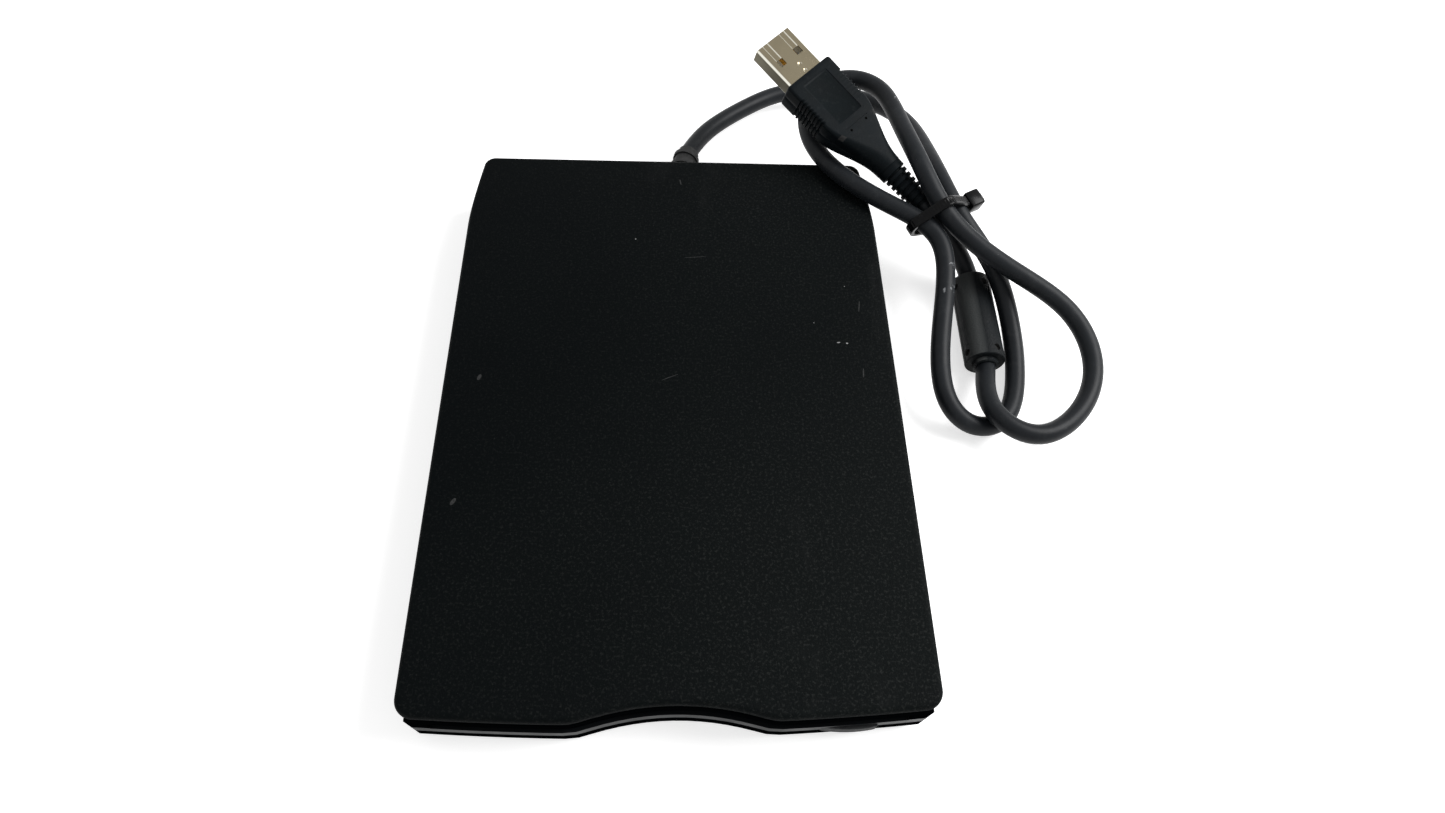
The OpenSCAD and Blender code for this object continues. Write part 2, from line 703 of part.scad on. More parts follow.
module lead_screw() {
    color(bright_steel) translate([screw_x, 0, screw_z]) rotate([-90, 0, 0]) {
        translate([0, 0, screw_front_y]) cylinder(r = screw_r, h = stepper_y - slide_gap - screw_front_y);
        translate([0, 0, stepper_y - slide_gap]) cylinder(r = screw_r / 2, h = stepper_l / 3);
    }
}
module head_carriage() {
    color(satin_plastic) difference() {
        union() {
            block(-head_arm_w / 2, head_arm_w / 2, head_y - head_pad, carriage_y0 + over, carriage_z0,
                carriage_z1);
            block(screw_x + head_pad, rod_x + head_pad / 2 + rod_r, carriage_y0, carriage_y1, carriage_z0,
                carriage_z1);
            block(screw_x - head_pad, screw_x + head_pad + over, nut_y0, carriage_y1, carriage_z0,
                screw_z + screw_r + nut_wall);
            block(-head_pad / 2, head_pad / 2, head_y - head_pad / 2, head_y + head_pad / 2, carriage_z1,
                slot_z - slide_gap / 2);
            both_sides() block(head_arm_w / 2 + slide_gap, head_arm_w / 2 + slide_gap + arm_fork_t,
                arm_pivot_y - arm_fork_l, arm_pivot_y + arm_fork_l, carriage_z1 - over, roof_z - slide_gap);
        }
        translate([rod_x, carriage_y0 - over, rod_z]) rotate([-90, 0, 0])
            cylinder(r = rod_r + fit, h = carriage_y1 - carriage_y0 + 2 * over);
        translate([screw_x, nut_y0 - over, screw_z]) rotate([-90, 0, 0])
            cylinder(r = screw_r + fit, h = carriage_y1 - nut_y0 + 2 * over);
        translate([-case_w / 2, arm_pivot_y, arm_z]) rotate([0, 90, 0])
            cylinder(r = arm_pivot_r + fit, h = case_w);
    }
}
module upper_head_arm() {
    color(zinc_steel) {
        block(-head_arm_w / 2, head_arm_w / 2, head_y - head_pad / 2, arm_pivot_y, arm_z - arm_t / 2,
            arm_z + arm_t / 2);
        block(-head_pad / 2, head_pad / 2, head_y - head_pad / 2, head_y + head_pad / 2,
            slot_top + slide_gap / 2, arm_z - arm_t / 2);
        translate([-head_arm_w / 2 - slide_gap - arm_fork_t, arm_pivot_y, arm_z]) rotate([0, 90, 0])
            cylinder(r = arm_pivot_r, h = head_arm_w + 2 * (slide_gap + arm_fork_t));
    }
}

// Switches that feel the disk's corner holes
sensor_inset = 9;
sensor_x = sensor_inset - disk_w / 2;
sensor_setback = 8;
sensor_y = carrier_back_y - sensor_setback;
sensor_w = 8;
sensor_l = 9;
plunger_r = 0.8;
plunger_travel = 1.2;
sensor_top = slot_z - drop - slide_gap;
module plunger_spot(i) {
    translate([sensor_x, sensor_y + i * sensor_l / 3, 0]) children();
}
module sensor_block() {
    color(black_plastic) difference() {
        block(sensor_x - sensor_w / 2, sensor_x + sensor_w / 2, sensor_y - sensor_l / 2,
            sensor_y + sensor_l / 2,
            frame_z + frame_t, sensor_top);
        for (i = [-1 : 1]) plunger_spot(i) translate([0, 0, frame_z + frame_t + slide_gap])
            cylinder(r = plunger_r + fit, h = sensor_top);
    }
}
module plunger(i) {
    z = frame_z + frame_t + slide_gap + plunger_travel;
    color(white_plastic) plunger_spot(i) translate([0, 0, z])
        cylinder(r = plunger_r, h = slot_z - slide_gap / 2 - z);
}

// Boards, with their parts standing on them
chip_h = 1.4;
module chip(x, y, w, l) {
    block(x - w / 2, x + w / 2, y - l / 2, y + l / 2, board_z + board_t, board_z + board_t + chip_h);
}
module main_board() {
    chip_l = 0.62 * (main_board_y1 - main_board_y0);
    color(board_green) difference() {
        block(frame_tail_x / 2 + 3 * slide_gap, board_x1, main_board_y0, main_board_y1, board_z,
            board_z + board_t);
        translate([board_x1, main_board_y1, board_z - over]) cylinder(r = boss_r, h = board_t + 2 * over);
    }
    color(black_plastic) {
        chip(board_x1 - chip_l, main_board_y0 + chip_l / 2 + chip_h, chip_l, chip_l);
        chip(frame_tail_x, main_board_y0 + chip_l / 2 + chip_h, chip_l, chip_l / 2);
    }
}
module interface_board() {
    chip_l = 0.8 * (link_board_y1 - link_board_y0);
    color(board_green) block(board_x0, link_board_x1, link_board_y0, link_board_y1, board_z,
        board_z + board_t);
    color(black_plastic) chip(link_board_x1 / 2 - chip_l / 2, link_board_y0 + chip_l / 2 + slide_gap,
        chip_l, chip_l);
}
ribbon_w = 12;
ribbon_t = 0.3;
module flat_cable() {
    x = board_x1 / 2 + ribbon_w / 4;
    rise = 2;
    color(white_plastic) {
        block(x - ribbon_w / 2, x + ribbon_w / 2, main_board_y1 - rise, link_board_y0 + rise,
            board_z + board_t + rise, board_z + board_t + rise + ribbon_t);
        block(x - ribbon_w / 2, x + ribbon_w / 2, main_board_y1 - rise, main_board_y1 - rise + ribbon_t,
            board_z + board_t, board_z + board_t + rise);
        block(x - ribbon_w / 2, x + ribbon_w / 2, link_board_y0 + rise - ribbon_t, link_board_y0 + rise,
            board_z + board_t, board_z + board_t + rise);
    }
}

// The boot bends the lead gently to the right
boot_flange_r = 4.2;
boot_l = 12;
boot_turn = 20;
boot_r0 = 3.6;
boot_r1 = 2.9;
boot_steps = 12;
boot_bend_r = boot_l / (boot_turn * PI / 180);
function boot_centre(u) = let (a = boot_turn * u)
    [boot_x + boot_bend_r * (1 - cos(a)), back_y + boot_bend_r * sin(a), boot_z];
function boot_radius(u) = boot_r0 + (boot_r1 - boot_r0) * u;
boot_exit = boot_centre(1);
module boot_ring(u, r, t) {
    translate(boot_centre(u)) rotate([-90, 0, -boot_turn * u]) cylinder(r = r, h = t);
}
boot_ring_t = 1.2;
boot_ring_rise = 0.5;
module strain_relief() {
    color(rubber_black) difference() {
        union() {
            translate([boot_x, back_y - case_wall - boot_flange_t, boot_z]) rotate([-90, 0, 0])
                cylinder(r = boot_flange_r, h = boot_flange_t);
            translate([boot_x, back_y - case_wall - over, boot_z]) rotate([-90, 0, 0])
                cylinder(r = boot_neck_r, h = case_wall + 2 * over);
            skin([for (i = [0 : boot_steps]) let (u = i / boot_steps, c = boot_centre(u), a = boot_turn * u)
                [for (k = [0 : 15 : 345]) c + boot_radius(u) * [cos(k) * cos(a), -cos(k) * sin(a),
                    -sin(k)]]]);
            for (u = [0.1, 0.42, 0.74]) boot_ring(u, boot_radius(u) + boot_ring_rise, boot_ring_t);
        }
        translate([boot_x, back_y - case_wall - boot_flange_t - over, boot_z]) rotate([-90, 0, 0])
            cylinder(r = cord_d / 4, h = case_wall + boot_flange_t);
    }
}
module inner_leads() {
    lead_r = 0.5;
    lead_l = 5;
    wall_y = back_y - case_wall - boot_flange_t;
    color("firebrick") for (i = [-1.5 : 1 : 1.5])
        translate([boot_x + i * 2.5 * lead_r, wall_y - lead_l, boot_z - lead_r * 2]) {
        rotate([-90, 0, 0]) cylinder(r = lead_r, h = lead_l);
        translate([0, 0, board_z + board_t - boot_z + lead_r * 2])
            cylinder(r = lead_r, h = boot_z - lead_r * 2 - board_z - board_t);
    }
}

// The lead's route, from the boot through the tied loops to the bead, then on to the plug
loops_route = [[4, 83.5, 8], [9, 94, 7], [21, 105, 6], [33, 113, 6], [47, 113, 5.5], [59, 107, 8],
    [67, 95, 12], [69, 79, 16], [69.5, 63, 21], [73.5, 51.5, 18.5], [83.5, 41.5, 12], [86.5, 27, 6.5],
    [86.5, 13.5, 3], [82.5, 0, 2.6], [72, -3, 3.5], [64, 3, 8], [65, 18, 11], [68.5, 33, 14],
    [69, 45.5, 17.5], [61.5, 51.5, 19], [51.5, 57, 19.6], [39.5, 68, 19.6], [34.5, 82, 19.6],
    [38, 95.5, 21.5], [48.5, 99, 23.5], [57.5, 93, 24.5], [59.5, 78.5, 25.5], [62, 61, 28.5],
    [69.5, 48.5, 19.5], [84, 36, 17], [99.5, 28, 13.5], [105, 14.5, 9.5], [100, 1, 8], [86, -9.5, 8],
    [73.5, -0.5, 9], [78, 14.5, 5]];
plug_route = [[78.5, 41.5, 5], [77, 47, 7.5], [68.5, 51.5, 16.5], [64.5, 56, 18.5]];
// A smooth curve that starts and ends at the route's own ends
curve_steps = 2;
function curve_point(p, t) = (pow(1 - t, 3) * p[0] + (3 * pow(t, 3) - 6 * t * t + 4) * p[1]
    + (-3 * pow(t, 3) + 3 * t * t + 3 * t + 1) * p[2] + pow(t, 3) * p[3]) / 6;
function curve(route) = let (n = len(route),
    p = concat([2 * route[0] - route[1]], route, [2 * route[n - 1] - route[n - 2]]))
    concat([for (i = [0 : n - 2], k = [0 : curve_steps - 1])
        curve_point([p[i], p[i + 1], p[i + 2], p[i + 3]], k / curve_steps)], [route[n - 1]]);
cord_path = concat(curve(loops_route), curve(plug_route));
cord_sides = 8;
function heading(path, i) = unit(path[min(i + 1, len(path) - 1)] - path[max(i - 1, 0)]);
function tube_ring(c, t, r, sides) = let (s = unit(cross(t, [0, 0, 1])), u = cross(t, s))
    [for (k = [0 : sides - 1]) let (a = 360 * k / sides) c + r * (cos(a) * s + sin(a) * u)];
module cord() {
    n = len(cord_path);
    color(rubber_black) skin([for (i = [0 : n - 1])
        tube_ring(cord_path[i], heading(cord_path, i), cord_d / 2, cord_sides)]);
}

// The bead sits on the straight stretch between the two routes
bead_start = loops_route[len(loops_route) - 1];
bead_run = plug_route[0] - bead_start;
bead_l = norm(bead_run);
bead_edge_r = 1.5;
bead_neck_r = 3;
bead_neck_l = 1.2;
bead_bore_fit = 0.05;
module ferrite_bead() {
    color(black_plastic) translate(bead_start) rotate([-90, 0, -atan2(bead_run[0], bead_run[1])])
        rotate_extrude()
        polygon(concat([[cord_d / 2 + bead_bore_fit, 0], [bead_neck_r, 0], [bead_neck_r, bead_neck_l]],
            arc(bead_d / 2 - bead_edge_r, bead_neck_l + bead_edge_r, bead_edge_r, -90, 0),
            arc(bead_d / 2 - bead_edge_r, bead_l - bead_edge_r, bead_edge_r, 0, 90),
            [[cord_d / 2 + bead_bore_fit, bead_l]]));
}

// The tie grips four strands, seen along the bundle
tie_place = [68.4, 52.1, 18.9];
tie_heading = 62;
tie_pitch = 12;
// Across, up and the room that a slanting strand needs
tie_lay = [[5.15, -0.1, 0.2], [-5.5, -0.4, 0.85], [-0.4, 3.2, 0.5], [-0.15, -2.65, 0.95]];
tie_head = [5, 4.2, 4.5];
module tie_section(t) {
    hull() for (p = tie_lay) translate([p[0], p[1]]) circle(r = cord_d / 2 + p[2] + t, $fn = 32);
}
module cable_tie() {
    inner_x = tie_lay[0][0] + tie_lay[0][2] + cord_d / 2;
    color(rubber_black) translate(tie_place) rotate([90 + tie_pitch, 0, 90 - tie_heading]) {
        translate([0, 0, -tie_w / 2]) linear_extrude(tie_w) difference() {
            tie_section(tie_t);
            tie_section(0);
        }
        translate([inner_x + tie_t / 2, -tie_head[1] / 2, -tie_head[2] / 2]) cube(tie_head);
    }
}

// The plug lies on the tied lead and points up and back to the left
plug_heading = 136;
plug_tilt = 18;
plug_roll = -7;
plug_axis = [cos(plug_heading) * cos(plug_tilt), sin(plug_heading) * cos(plug_tilt), sin(plug_tilt)];
plug_place = plug_route[len(plug_route) - 1] + plug_axis * (plug_l + relief_l);
module at_plug() {
    translate(plug_place) rotate([plug_roll, -plug_tilt, plug_heading]) children();
}
// Shares of the body's length, and of its width and height there
plug_shares = [[0, 0.96, 0.94], [0.02, 1, 1], [0.12, 1, 1], [0.13, 0.95, 0.97], [0.4, 0.94, 0.97],
    [0.41, 1, 1], [0.5, 0.97, 1], [0.65, 0.84, 0.98], [0.8, 0.66, 0.95], [0.92, 0.52, 0.92],
    [1, 0.48, 0.88]];
plug_corner_share = 0.62;
plug_ring_points = 40;
function power(v, k) = sign(v) * pow(abs(v), k);
function plug_ring(share) = [for (i = [0 : plug_ring_points - 1]) let (a = 360 * i / plug_ring_points)
    [-plug_l * share[0], plug_w / 2 * share[1] * power(cos(a), plug_corner_share),
        -plug_h / 2 * share[2] * power(sin(a), plug_corner_share)]];
relief_r = 3.2;
relief_core_r = 2.7;
rib_count = 7;
collar_r = 4;
collar_t = 1.4;
shell_sink = 6;
module plug_overmold() {
    rib_pitch = (relief_l - collar_t) / rib_count;
    color(black_plastic) at_plug() difference() {
        union() {
            skin([for (s = plug_shares) plug_ring(s)]);
            translate([-plug_l, 0, 0]) rotate([0, -90, 0])
                cylinder(r1 = relief_core_r + fit, r2 = relief_core_r, h = relief_l);
            translate([-plug_l + over, 0, 0]) rotate([0, -90, 0])
                cylinder(r = collar_r, h = collar_t + over);
            for (i = [0 : rib_count - 1]) translate([-plug_l - collar_t - rib_pitch * (i + 0.3), 0, 0])
                rotate([0, -90, 0])
                cylinder(r = relief_r + (relief_core_r - relief_r) * i / rib_count, h = rib_pitch / 2);
        }
        translate([-shell_sink, -shell_w / 2 - fit, -shell_h / 2 - fit])
            cube([shell_sink + over, shell_w + 2 * fit, shell_h + 2 * fit]);
    }
}
window_w = 2.5;
window_l = 2;
window_x = 3.5;
window_back = 6.2;
module plug_shell() {
    l = shell_l + shell_sink;
    color(bright_steel) at_plug() translate([-shell_sink, 0, 0]) difference() {
        translate([0, -shell_w / 2, -shell_h / 2]) cube([l, shell_w, shell_h]);
        translate([shell_wall, -shell_w / 2 + shell_wall, -shell_h / 2 + shell_wall])
            cube([l, shell_w - 2 * shell_wall, shell_h - 2 * shell_wall]);
        for (sy = [-1, 1]) translate([l - window_back - window_l / 2, sy * window_x - window_w / 2,
            -shell_h])
            cube([window_l, window_w, 2 * shell_h]);
    }
}
tongue_h = 1.9;
tongue_back = 1;
contact_w = 1;
contact_t = 0.2;
contact_pitch = 2.2;
module plug_tongue() {
    color(white_plastic) at_plug() translate([-shell_sink + shell_wall, -shell_w / 2 + shell_wall,
        -shell_h / 2 + shell_wall]) difference() {
        cube([shell_sink + shell_l - tongue_back, shell_w - 2 * shell_wall, tongue_h]);
        for (i = [-1.5 : 1 : 1.5]) translate([shell_sink,
            (shell_w - 2 * shell_wall - contact_w) / 2 + i * contact_pitch, tongue_h - contact_t])
            cube([shell_l, contact_w, tongue_h]);
    }
}
module plug_contacts() {
    color(brass_gold) at_plug() translate([shell_wall, -contact_w / 2,
        -shell_h / 2 + shell_wall + tongue_h - contact_t])
        for (i = [-1.5 : 1 : 1.5]) translate([0, i * contact_pitch, 0])
            cube([shell_l - 2 * tongue_back, contact_w, contact_t]);
}

top_cover();
bottom_cover();
front_bezel();
rubber_feet();
case_screws();
drive_frame();
frame_screws();
main_board();
interface_board();
flat_cable();
inner_leads();
spindle_stator();
guide_rod();
stepper_motor();
sensor_block();
eject_button();
eject_plate();
disk_carrier();
slot_door();
spindle_rotor();
head_carriage();
upper_head_arm();
lead_screw();
latch_lever();
plunger(-1);  // protect_plunger
plunger(0);  // density_plunger
plunger(1);  // presence_plunger
strain_relief();
cord();
ferrite_bead();
cable_tie();
plug_overmold();
plug_shell();
plug_tongue();
plug_contacts();
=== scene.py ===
import math
import bmesh
import bpy
from mathutils import Matrix, Vector

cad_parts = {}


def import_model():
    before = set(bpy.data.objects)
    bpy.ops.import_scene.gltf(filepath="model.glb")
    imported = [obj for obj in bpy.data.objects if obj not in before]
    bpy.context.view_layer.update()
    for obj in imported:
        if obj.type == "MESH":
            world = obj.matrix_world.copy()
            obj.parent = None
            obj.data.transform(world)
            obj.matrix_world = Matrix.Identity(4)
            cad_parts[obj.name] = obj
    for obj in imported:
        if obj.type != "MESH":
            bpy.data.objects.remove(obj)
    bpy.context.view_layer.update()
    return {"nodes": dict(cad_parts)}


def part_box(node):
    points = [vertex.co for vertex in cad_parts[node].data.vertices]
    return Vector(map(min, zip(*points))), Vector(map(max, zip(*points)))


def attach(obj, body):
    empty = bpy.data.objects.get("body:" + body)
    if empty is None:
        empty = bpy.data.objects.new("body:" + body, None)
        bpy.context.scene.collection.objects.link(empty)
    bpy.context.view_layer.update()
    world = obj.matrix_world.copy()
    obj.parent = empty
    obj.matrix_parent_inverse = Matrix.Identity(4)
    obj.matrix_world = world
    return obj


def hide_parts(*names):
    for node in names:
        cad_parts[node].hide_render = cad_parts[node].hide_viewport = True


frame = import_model()
MM = 0.001
scene = bpy.context.scene


# Sizes of the case, in millimetres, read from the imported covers
def node_box(name):
    low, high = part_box(name)
    return low / MM, high / MM


TOP_LOW, TOP_HIGH = node_box("top_cover")
BOTTOM_LOW, BOTTOM_HIGH = node_box("bottom_cover")
BEZEL_LOW, BEZEL_HIGH = node_box("front_bezel")
CASE_W = TOP_HIGH.x - TOP_LOW.x
CASE_L = TOP_HIGH.y - BEZEL_LOW.y
CASE_H = TOP_HIGH.z
SPLIT_Z = BOTTOM_HIGH.z
FOOT_H = BOTTOM_LOW.z
WALL = 1.4
BOW_R = 650
FRONT_CORNER_R = 3.8
BACK_CORNER_R = 3
TAPER_IN = 2.3
TAPER_L = 22.5
TAPER_POWER = 1.5
TOP_EDGE_R = 1.2
BOTTOM_EDGE_R = 1
EDGE_STEPS = 8
EDGE_FLAT = 0.6
SPLIT_BREAK = 0.12
NOTCH_HALF = 19
NOTCH_DEPTH = 3.4
NOTCH_SOFT = 0.25
BEZEL_PROUD = 0.3
BEZEL_FIT = 0.1
THROAT_L = 5.9
# The front's band of painted light, from its lower to its upper edge; above and below it the bezel is
# painted near black as shade
PAINTED_LIGHT_LOW = 6.2
PAINTED_LIGHT_HIGH = 9.2
FOOT_X, FOOT_Y, FOOT_R, FOOT_SINK = 42, 57, 4.05, 0.5
SCREW_X, SCREW_Y, HEAD_BORE_R, HEAD_BORE_OVER = 40, 64, 2.6, 0.2
BOOT_X, BOOT_NECK_R = 2, 3.05
OVERRUN = 2
BACK_Y = CASE_L / 2
FACE_Y = -CASE_L / 2
APEX_Y = FACE_Y + BEZEL_PROUD - NOTCH_HALF ** 2 / (2 * BOW_R)


# Meshes
def new_mesh(name, points, faces):
    """A mesh from points in millimetres, with its faces turned outward."""
    mesh = bpy.data.meshes.new(name)
    mesh.from_pydata([Vector(p) * MM for p in points], [], faces)
    turned_out = bmesh.new()
    turned_out.from_mesh(mesh)
    bmesh.ops.recalc_face_normals(turned_out, faces=turned_out.faces)
    turned_out.to_mesh(mesh)
    turned_out.free()
    return mesh


def smooth(mesh, sharp):
    """Smooth shading, with the edges above the angle kept sharp."""
    mesh.polygons.foreach_set("use_smooth", [True] * len(mesh.polygons))
    mesh.set_sharp_from_angle(angle=math.radians(sharp))


def make_piece(name, points, faces, materials, body="root", sharp=35, replaces=(), slot=None):
    """A smooth piece from points in millimetres, with its body and the nodes it stands for; the slot is not
    used.
    """
    mesh = new_mesh(name, points, faces)
    smooth(mesh, sharp)
    for material in materials:
        mesh.materials.append(material)
    piece = bpy.data.objects.new(name, mesh)
    scene.collection.objects.link(piece)
    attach(piece, body)
    if replaces:
        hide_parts(*replaces)
    return piece


def loft(rings, closed=True):
    """Points and faces of rings joined in order, with both ends capped if closed."""
    n = len(rings[0])
    points = [p for ring in rings for p in ring]
    faces = []
    for i in range(len(rings) - 1):
        for k in range(n):
            a, b = i * n + k, i * n + (k + 1) % n
            faces.append((a, b, b + n, a + n))
    if closed:
        faces.append(tuple(range(n - 1, -1, -1)))
        last = (len(rings) - 1) * n
        faces.append(tuple(range(last, last + n)))
    return points, faces


def loop(rings):
    """Points and faces of rings joined in order, and the last to the first."""
    points, faces = loft(rings, closed=False)
    n = len(rings[0])
    last = (len(rings) - 1) * n
    faces += [(last + k, last + (k + 1) % n, (k + 1) % n, k) for k in range(n)]
    return points, faces


def box_mesh(low, high, edge=0.0):
    """A block with small bevelled edges, as points and faces."""
    made = bmesh.new()
    bmesh.ops.create_cube(made, size=1)
    low = Vector(low)
    size = Vector(high) - low
    for v in made.verts:
        v.co = low + Vector([(c + 0.5) * length for c, length in zip(v.co, size)])
    if edge:
        bmesh.ops.bevel(made, geom=list(made.edges), offset=edge, segments=2, profile=0.5, affect="EDGES")
    points = [v.co.copy() for v in made.verts]
    faces = [tuple(v.index for v in f.verts) for f in made.faces]
    made.free()
    return points, faces


def merge(parts):
    """Several (points, faces) joined into one."""
    points, faces = [], []
    for p, f in parts:
        base = len(points)
        points.extend(p)
        faces.extend(tuple(i + base for i in face) for face in f)
    return points, faces


def cut(piece, cutters, sharp=35):
    """Takes the cutters out of the piece."""
    for points, faces in cutters:
        tool = bpy.data.objects.new("cutter", new_mesh("cutter", points, faces))
        scene.collection.objects.link(tool)
        step = piece.modifiers.new("cut", "BOOLEAN")
        step.operation = "DIFFERENCE"
        step.solver = "EXACT"
        step.object = tool
        graph = bpy.context.evaluated_depsgraph_get()
        made = bpy.data.meshes.new_from_object(piece.evaluated_get(graph))
        piece.modifiers.clear()
        piece.data = made
        bpy.data.objects.remove(tool)
    smooth(piece.data, sharp)


def square_to(along):
    """Two directions that are square to a third and to each other."""
    side = along.orthogonal().normalized()
    return side, along.cross(side)


def circle(centre, r, side, up, sides):
    """Points on a circle round a centre, in the plane of side and up."""
    turns = [2 * math.pi * k / sides for k in range(sides)]
    return [centre + r * (math.cos(a) * side + math.sin(a) * up) for a in turns]


def rod(start, end, r, sides=24):
    """A round rod between two points."""
    start, end = Vector(start), Vector(end)
    side, up = square_to((end - start).normalized())
    return loft([circle(centre, r, side, up, sides) for centre in (start, end)])


def turned(profile, start, along, sides=48):
    """A turned form: profile is a list of (distance along, radius)."""
    start, along = Vector(start), Vector(along).normalized()
    side, up = square_to(along)
    return loft([circle(start + d * along, r, side, up, sides) for d, r in profile])


# Materials
class Nodes:
    """A short way to write a node material."""

    def __init__(self, name):
        self.material = bpy.data.materials.new(name)
        self.material.use_nodes = True
        self.tree = self.material.node_tree
        self.shader = self.tree.nodes["Principled BSDF"]
        self.place = self.tree.nodes.new("ShaderNodeTexCoord").outputs["Object"]

    def add(self, kind, **values):
        node = self.tree.nodes.new(kind)
        for key, value in values.items():
            setattr(node, key, value)
        return node

    def link(self, a, b):
        self.tree.links.new(a, b)

    def noise(self, scale, detail=4.0, rough=0.55, stretch=None):
        node = self.add("ShaderNodeTexNoise")
        node.inputs["Scale"].default_value = scale
        node.inputs["Detail"].default_value = detail
        node.inputs["Roughness"].default_value = rough
        self.link(self.stretched(stretch), node.inputs["Vector"])
        return node.outputs["Fac"]

    def cells(self, scale):
        node = self.add("ShaderNodeTexVoronoi", feature="F1")
        node.inputs["Scale"].default_value = scale
        self.link(self.place, node.inputs["Vector"])
        return node.outputs["Distance"]

    def stretched(self, stretch):
        if not stretch:
            return self.place
        node = self.add("ShaderNodeMapping")
        node.inputs["Scale"].default_value = stretch
        self.link(self.place, node.inputs["Vector"])
        return node.outputs["Vector"]

    def ramp(self, value, low, high):
        """A ramp between two stops, each a place and a grey or a colour."""
        node = self.add("ShaderNodeValToRGB")
        for element, (at, colour) in zip(node.color_ramp.elements, (low, high)):
            element.position = at
            element.color = grey(colour)
        self.link(value, node.inputs["Fac"])
        return node.outputs["Color"]

    def feed(self, socket, value):
        """Sets a socket to a plain value, or links it to a node's output."""
        if isinstance(value, (int, float, tuple)):
            socket.default_value = value
        else:
            self.link(value, socket)

    def math(self, kind, a, b):
        node = self.add("ShaderNodeMath", operation=kind)
        for socket, value in zip(node.inputs, (a, b)):
            self.feed(socket, value)
        return node.outputs["Value"]

    def mix(self, factor, a, b):
        node = self.add("ShaderNodeMix", data_type="RGBA", blend_type="MIX")
        for name, value in (("Factor", factor), ("A", a), ("B", b)):
            self.feed(node.inputs[name], grey(value) if isinstance(value, tuple) else value)
        return node.outputs["Result"]

    def bump(self, height, distance, strength):
        node = self.add("ShaderNodeBump")
        node.inputs["Distance"].default_value = distance
        node.inputs["Strength"].default_value = strength
        self.link(height, node.inputs["Height"])
        self.link(node.outputs["Normal"], self.shader.inputs["Normal"])

    def set(self, **values):
        for key, value in values.items():
            self.feed(self.shader.inputs[key.replace("_", " ")], value)

    def axes(self):
        """The three outputs X, Y and Z of the place."""
        split = self.add("ShaderNodeSeparateXYZ")
        self.link(self.place, split.inputs["Vector"])
        return split.outputs

    def any_of(self, masks):
        """One mask that is set where any of the masks is."""
        total = masks[0]
        for mask in masks[1:]:
            total = self.math("MAXIMUM", total, mask)
        return total

    def spots(self, places):
        """A mask of small marks: places are (x, y, radius, stretch, turn) in millimetres on the top."""
        axes = self.axes()
        masks = []
        for x, y, radius, stretch, turn in places:
            c, s = math.cos(math.radians(turn)), math.sin(math.radians(turn))
            dx = self.math("SUBTRACT", axes["X"], x * MM)
            dy = self.math("SUBTRACT", axes["Y"], y * MM)
            along = self.math("ADD", self.math("MULTIPLY", dx, c), self.math("MULTIPLY", dy, s))
            off = self.math("SUBTRACT", self.math("MULTIPLY", dy, c), self.math("MULTIPLY", dx, s))
            u = self.math("DIVIDE", along, radius * stretch * MM)
            v = self.math("DIVIDE", off, radius * MM)
            reach = self.math("ADD", self.math("MULTIPLY", u, u), self.math("MULTIPLY", v, v))
            masks.append(self.math("LESS_THAN", reach, 1.0))
        return self.any_of(masks)

    def near(self, places):
        """A mask of round patches in space: places are (x, y, z, radius) in millimetres."""
        masks = []
        for x, y, z, radius in places:
            node = self.add("ShaderNodeVectorMath", operation="DISTANCE")
            self.link(self.place, node.inputs[0])
            node.inputs[1].default_value = (x * MM, y * MM, z * MM)
            masks.append(self.math("LESS_THAN", node.outputs["Value"], radius * MM))
        return self.any_of(masks)

    def facing(self, direction):
        """How far the surface faces a direction: 1 straight at it, 0 across it."""
        node = self.add("ShaderNodeVectorMath", operation="DOT_PRODUCT")
        self.link(self.tree.nodes["Texture Coordinate"].outputs["Normal"], node.inputs[0])
        node.inputs[1].default_value = Vector(direction).normalized()
        return node.outputs["Value"]


def grey(value):
    """A grey level or a colour as the four values that a node takes."""
    if isinstance(value, (int, float)):
        return (value, value, value, 1)
    return (*value, 1) if len(value) == 3 else value


def linear(*rgb):
    """A colour from the 8-bit values that a screen shows."""
    return tuple(((c / 255 + 0.055) / 1.055) ** 2.4 if c > 10 else c / 255 / 12.92 for c in rgb)


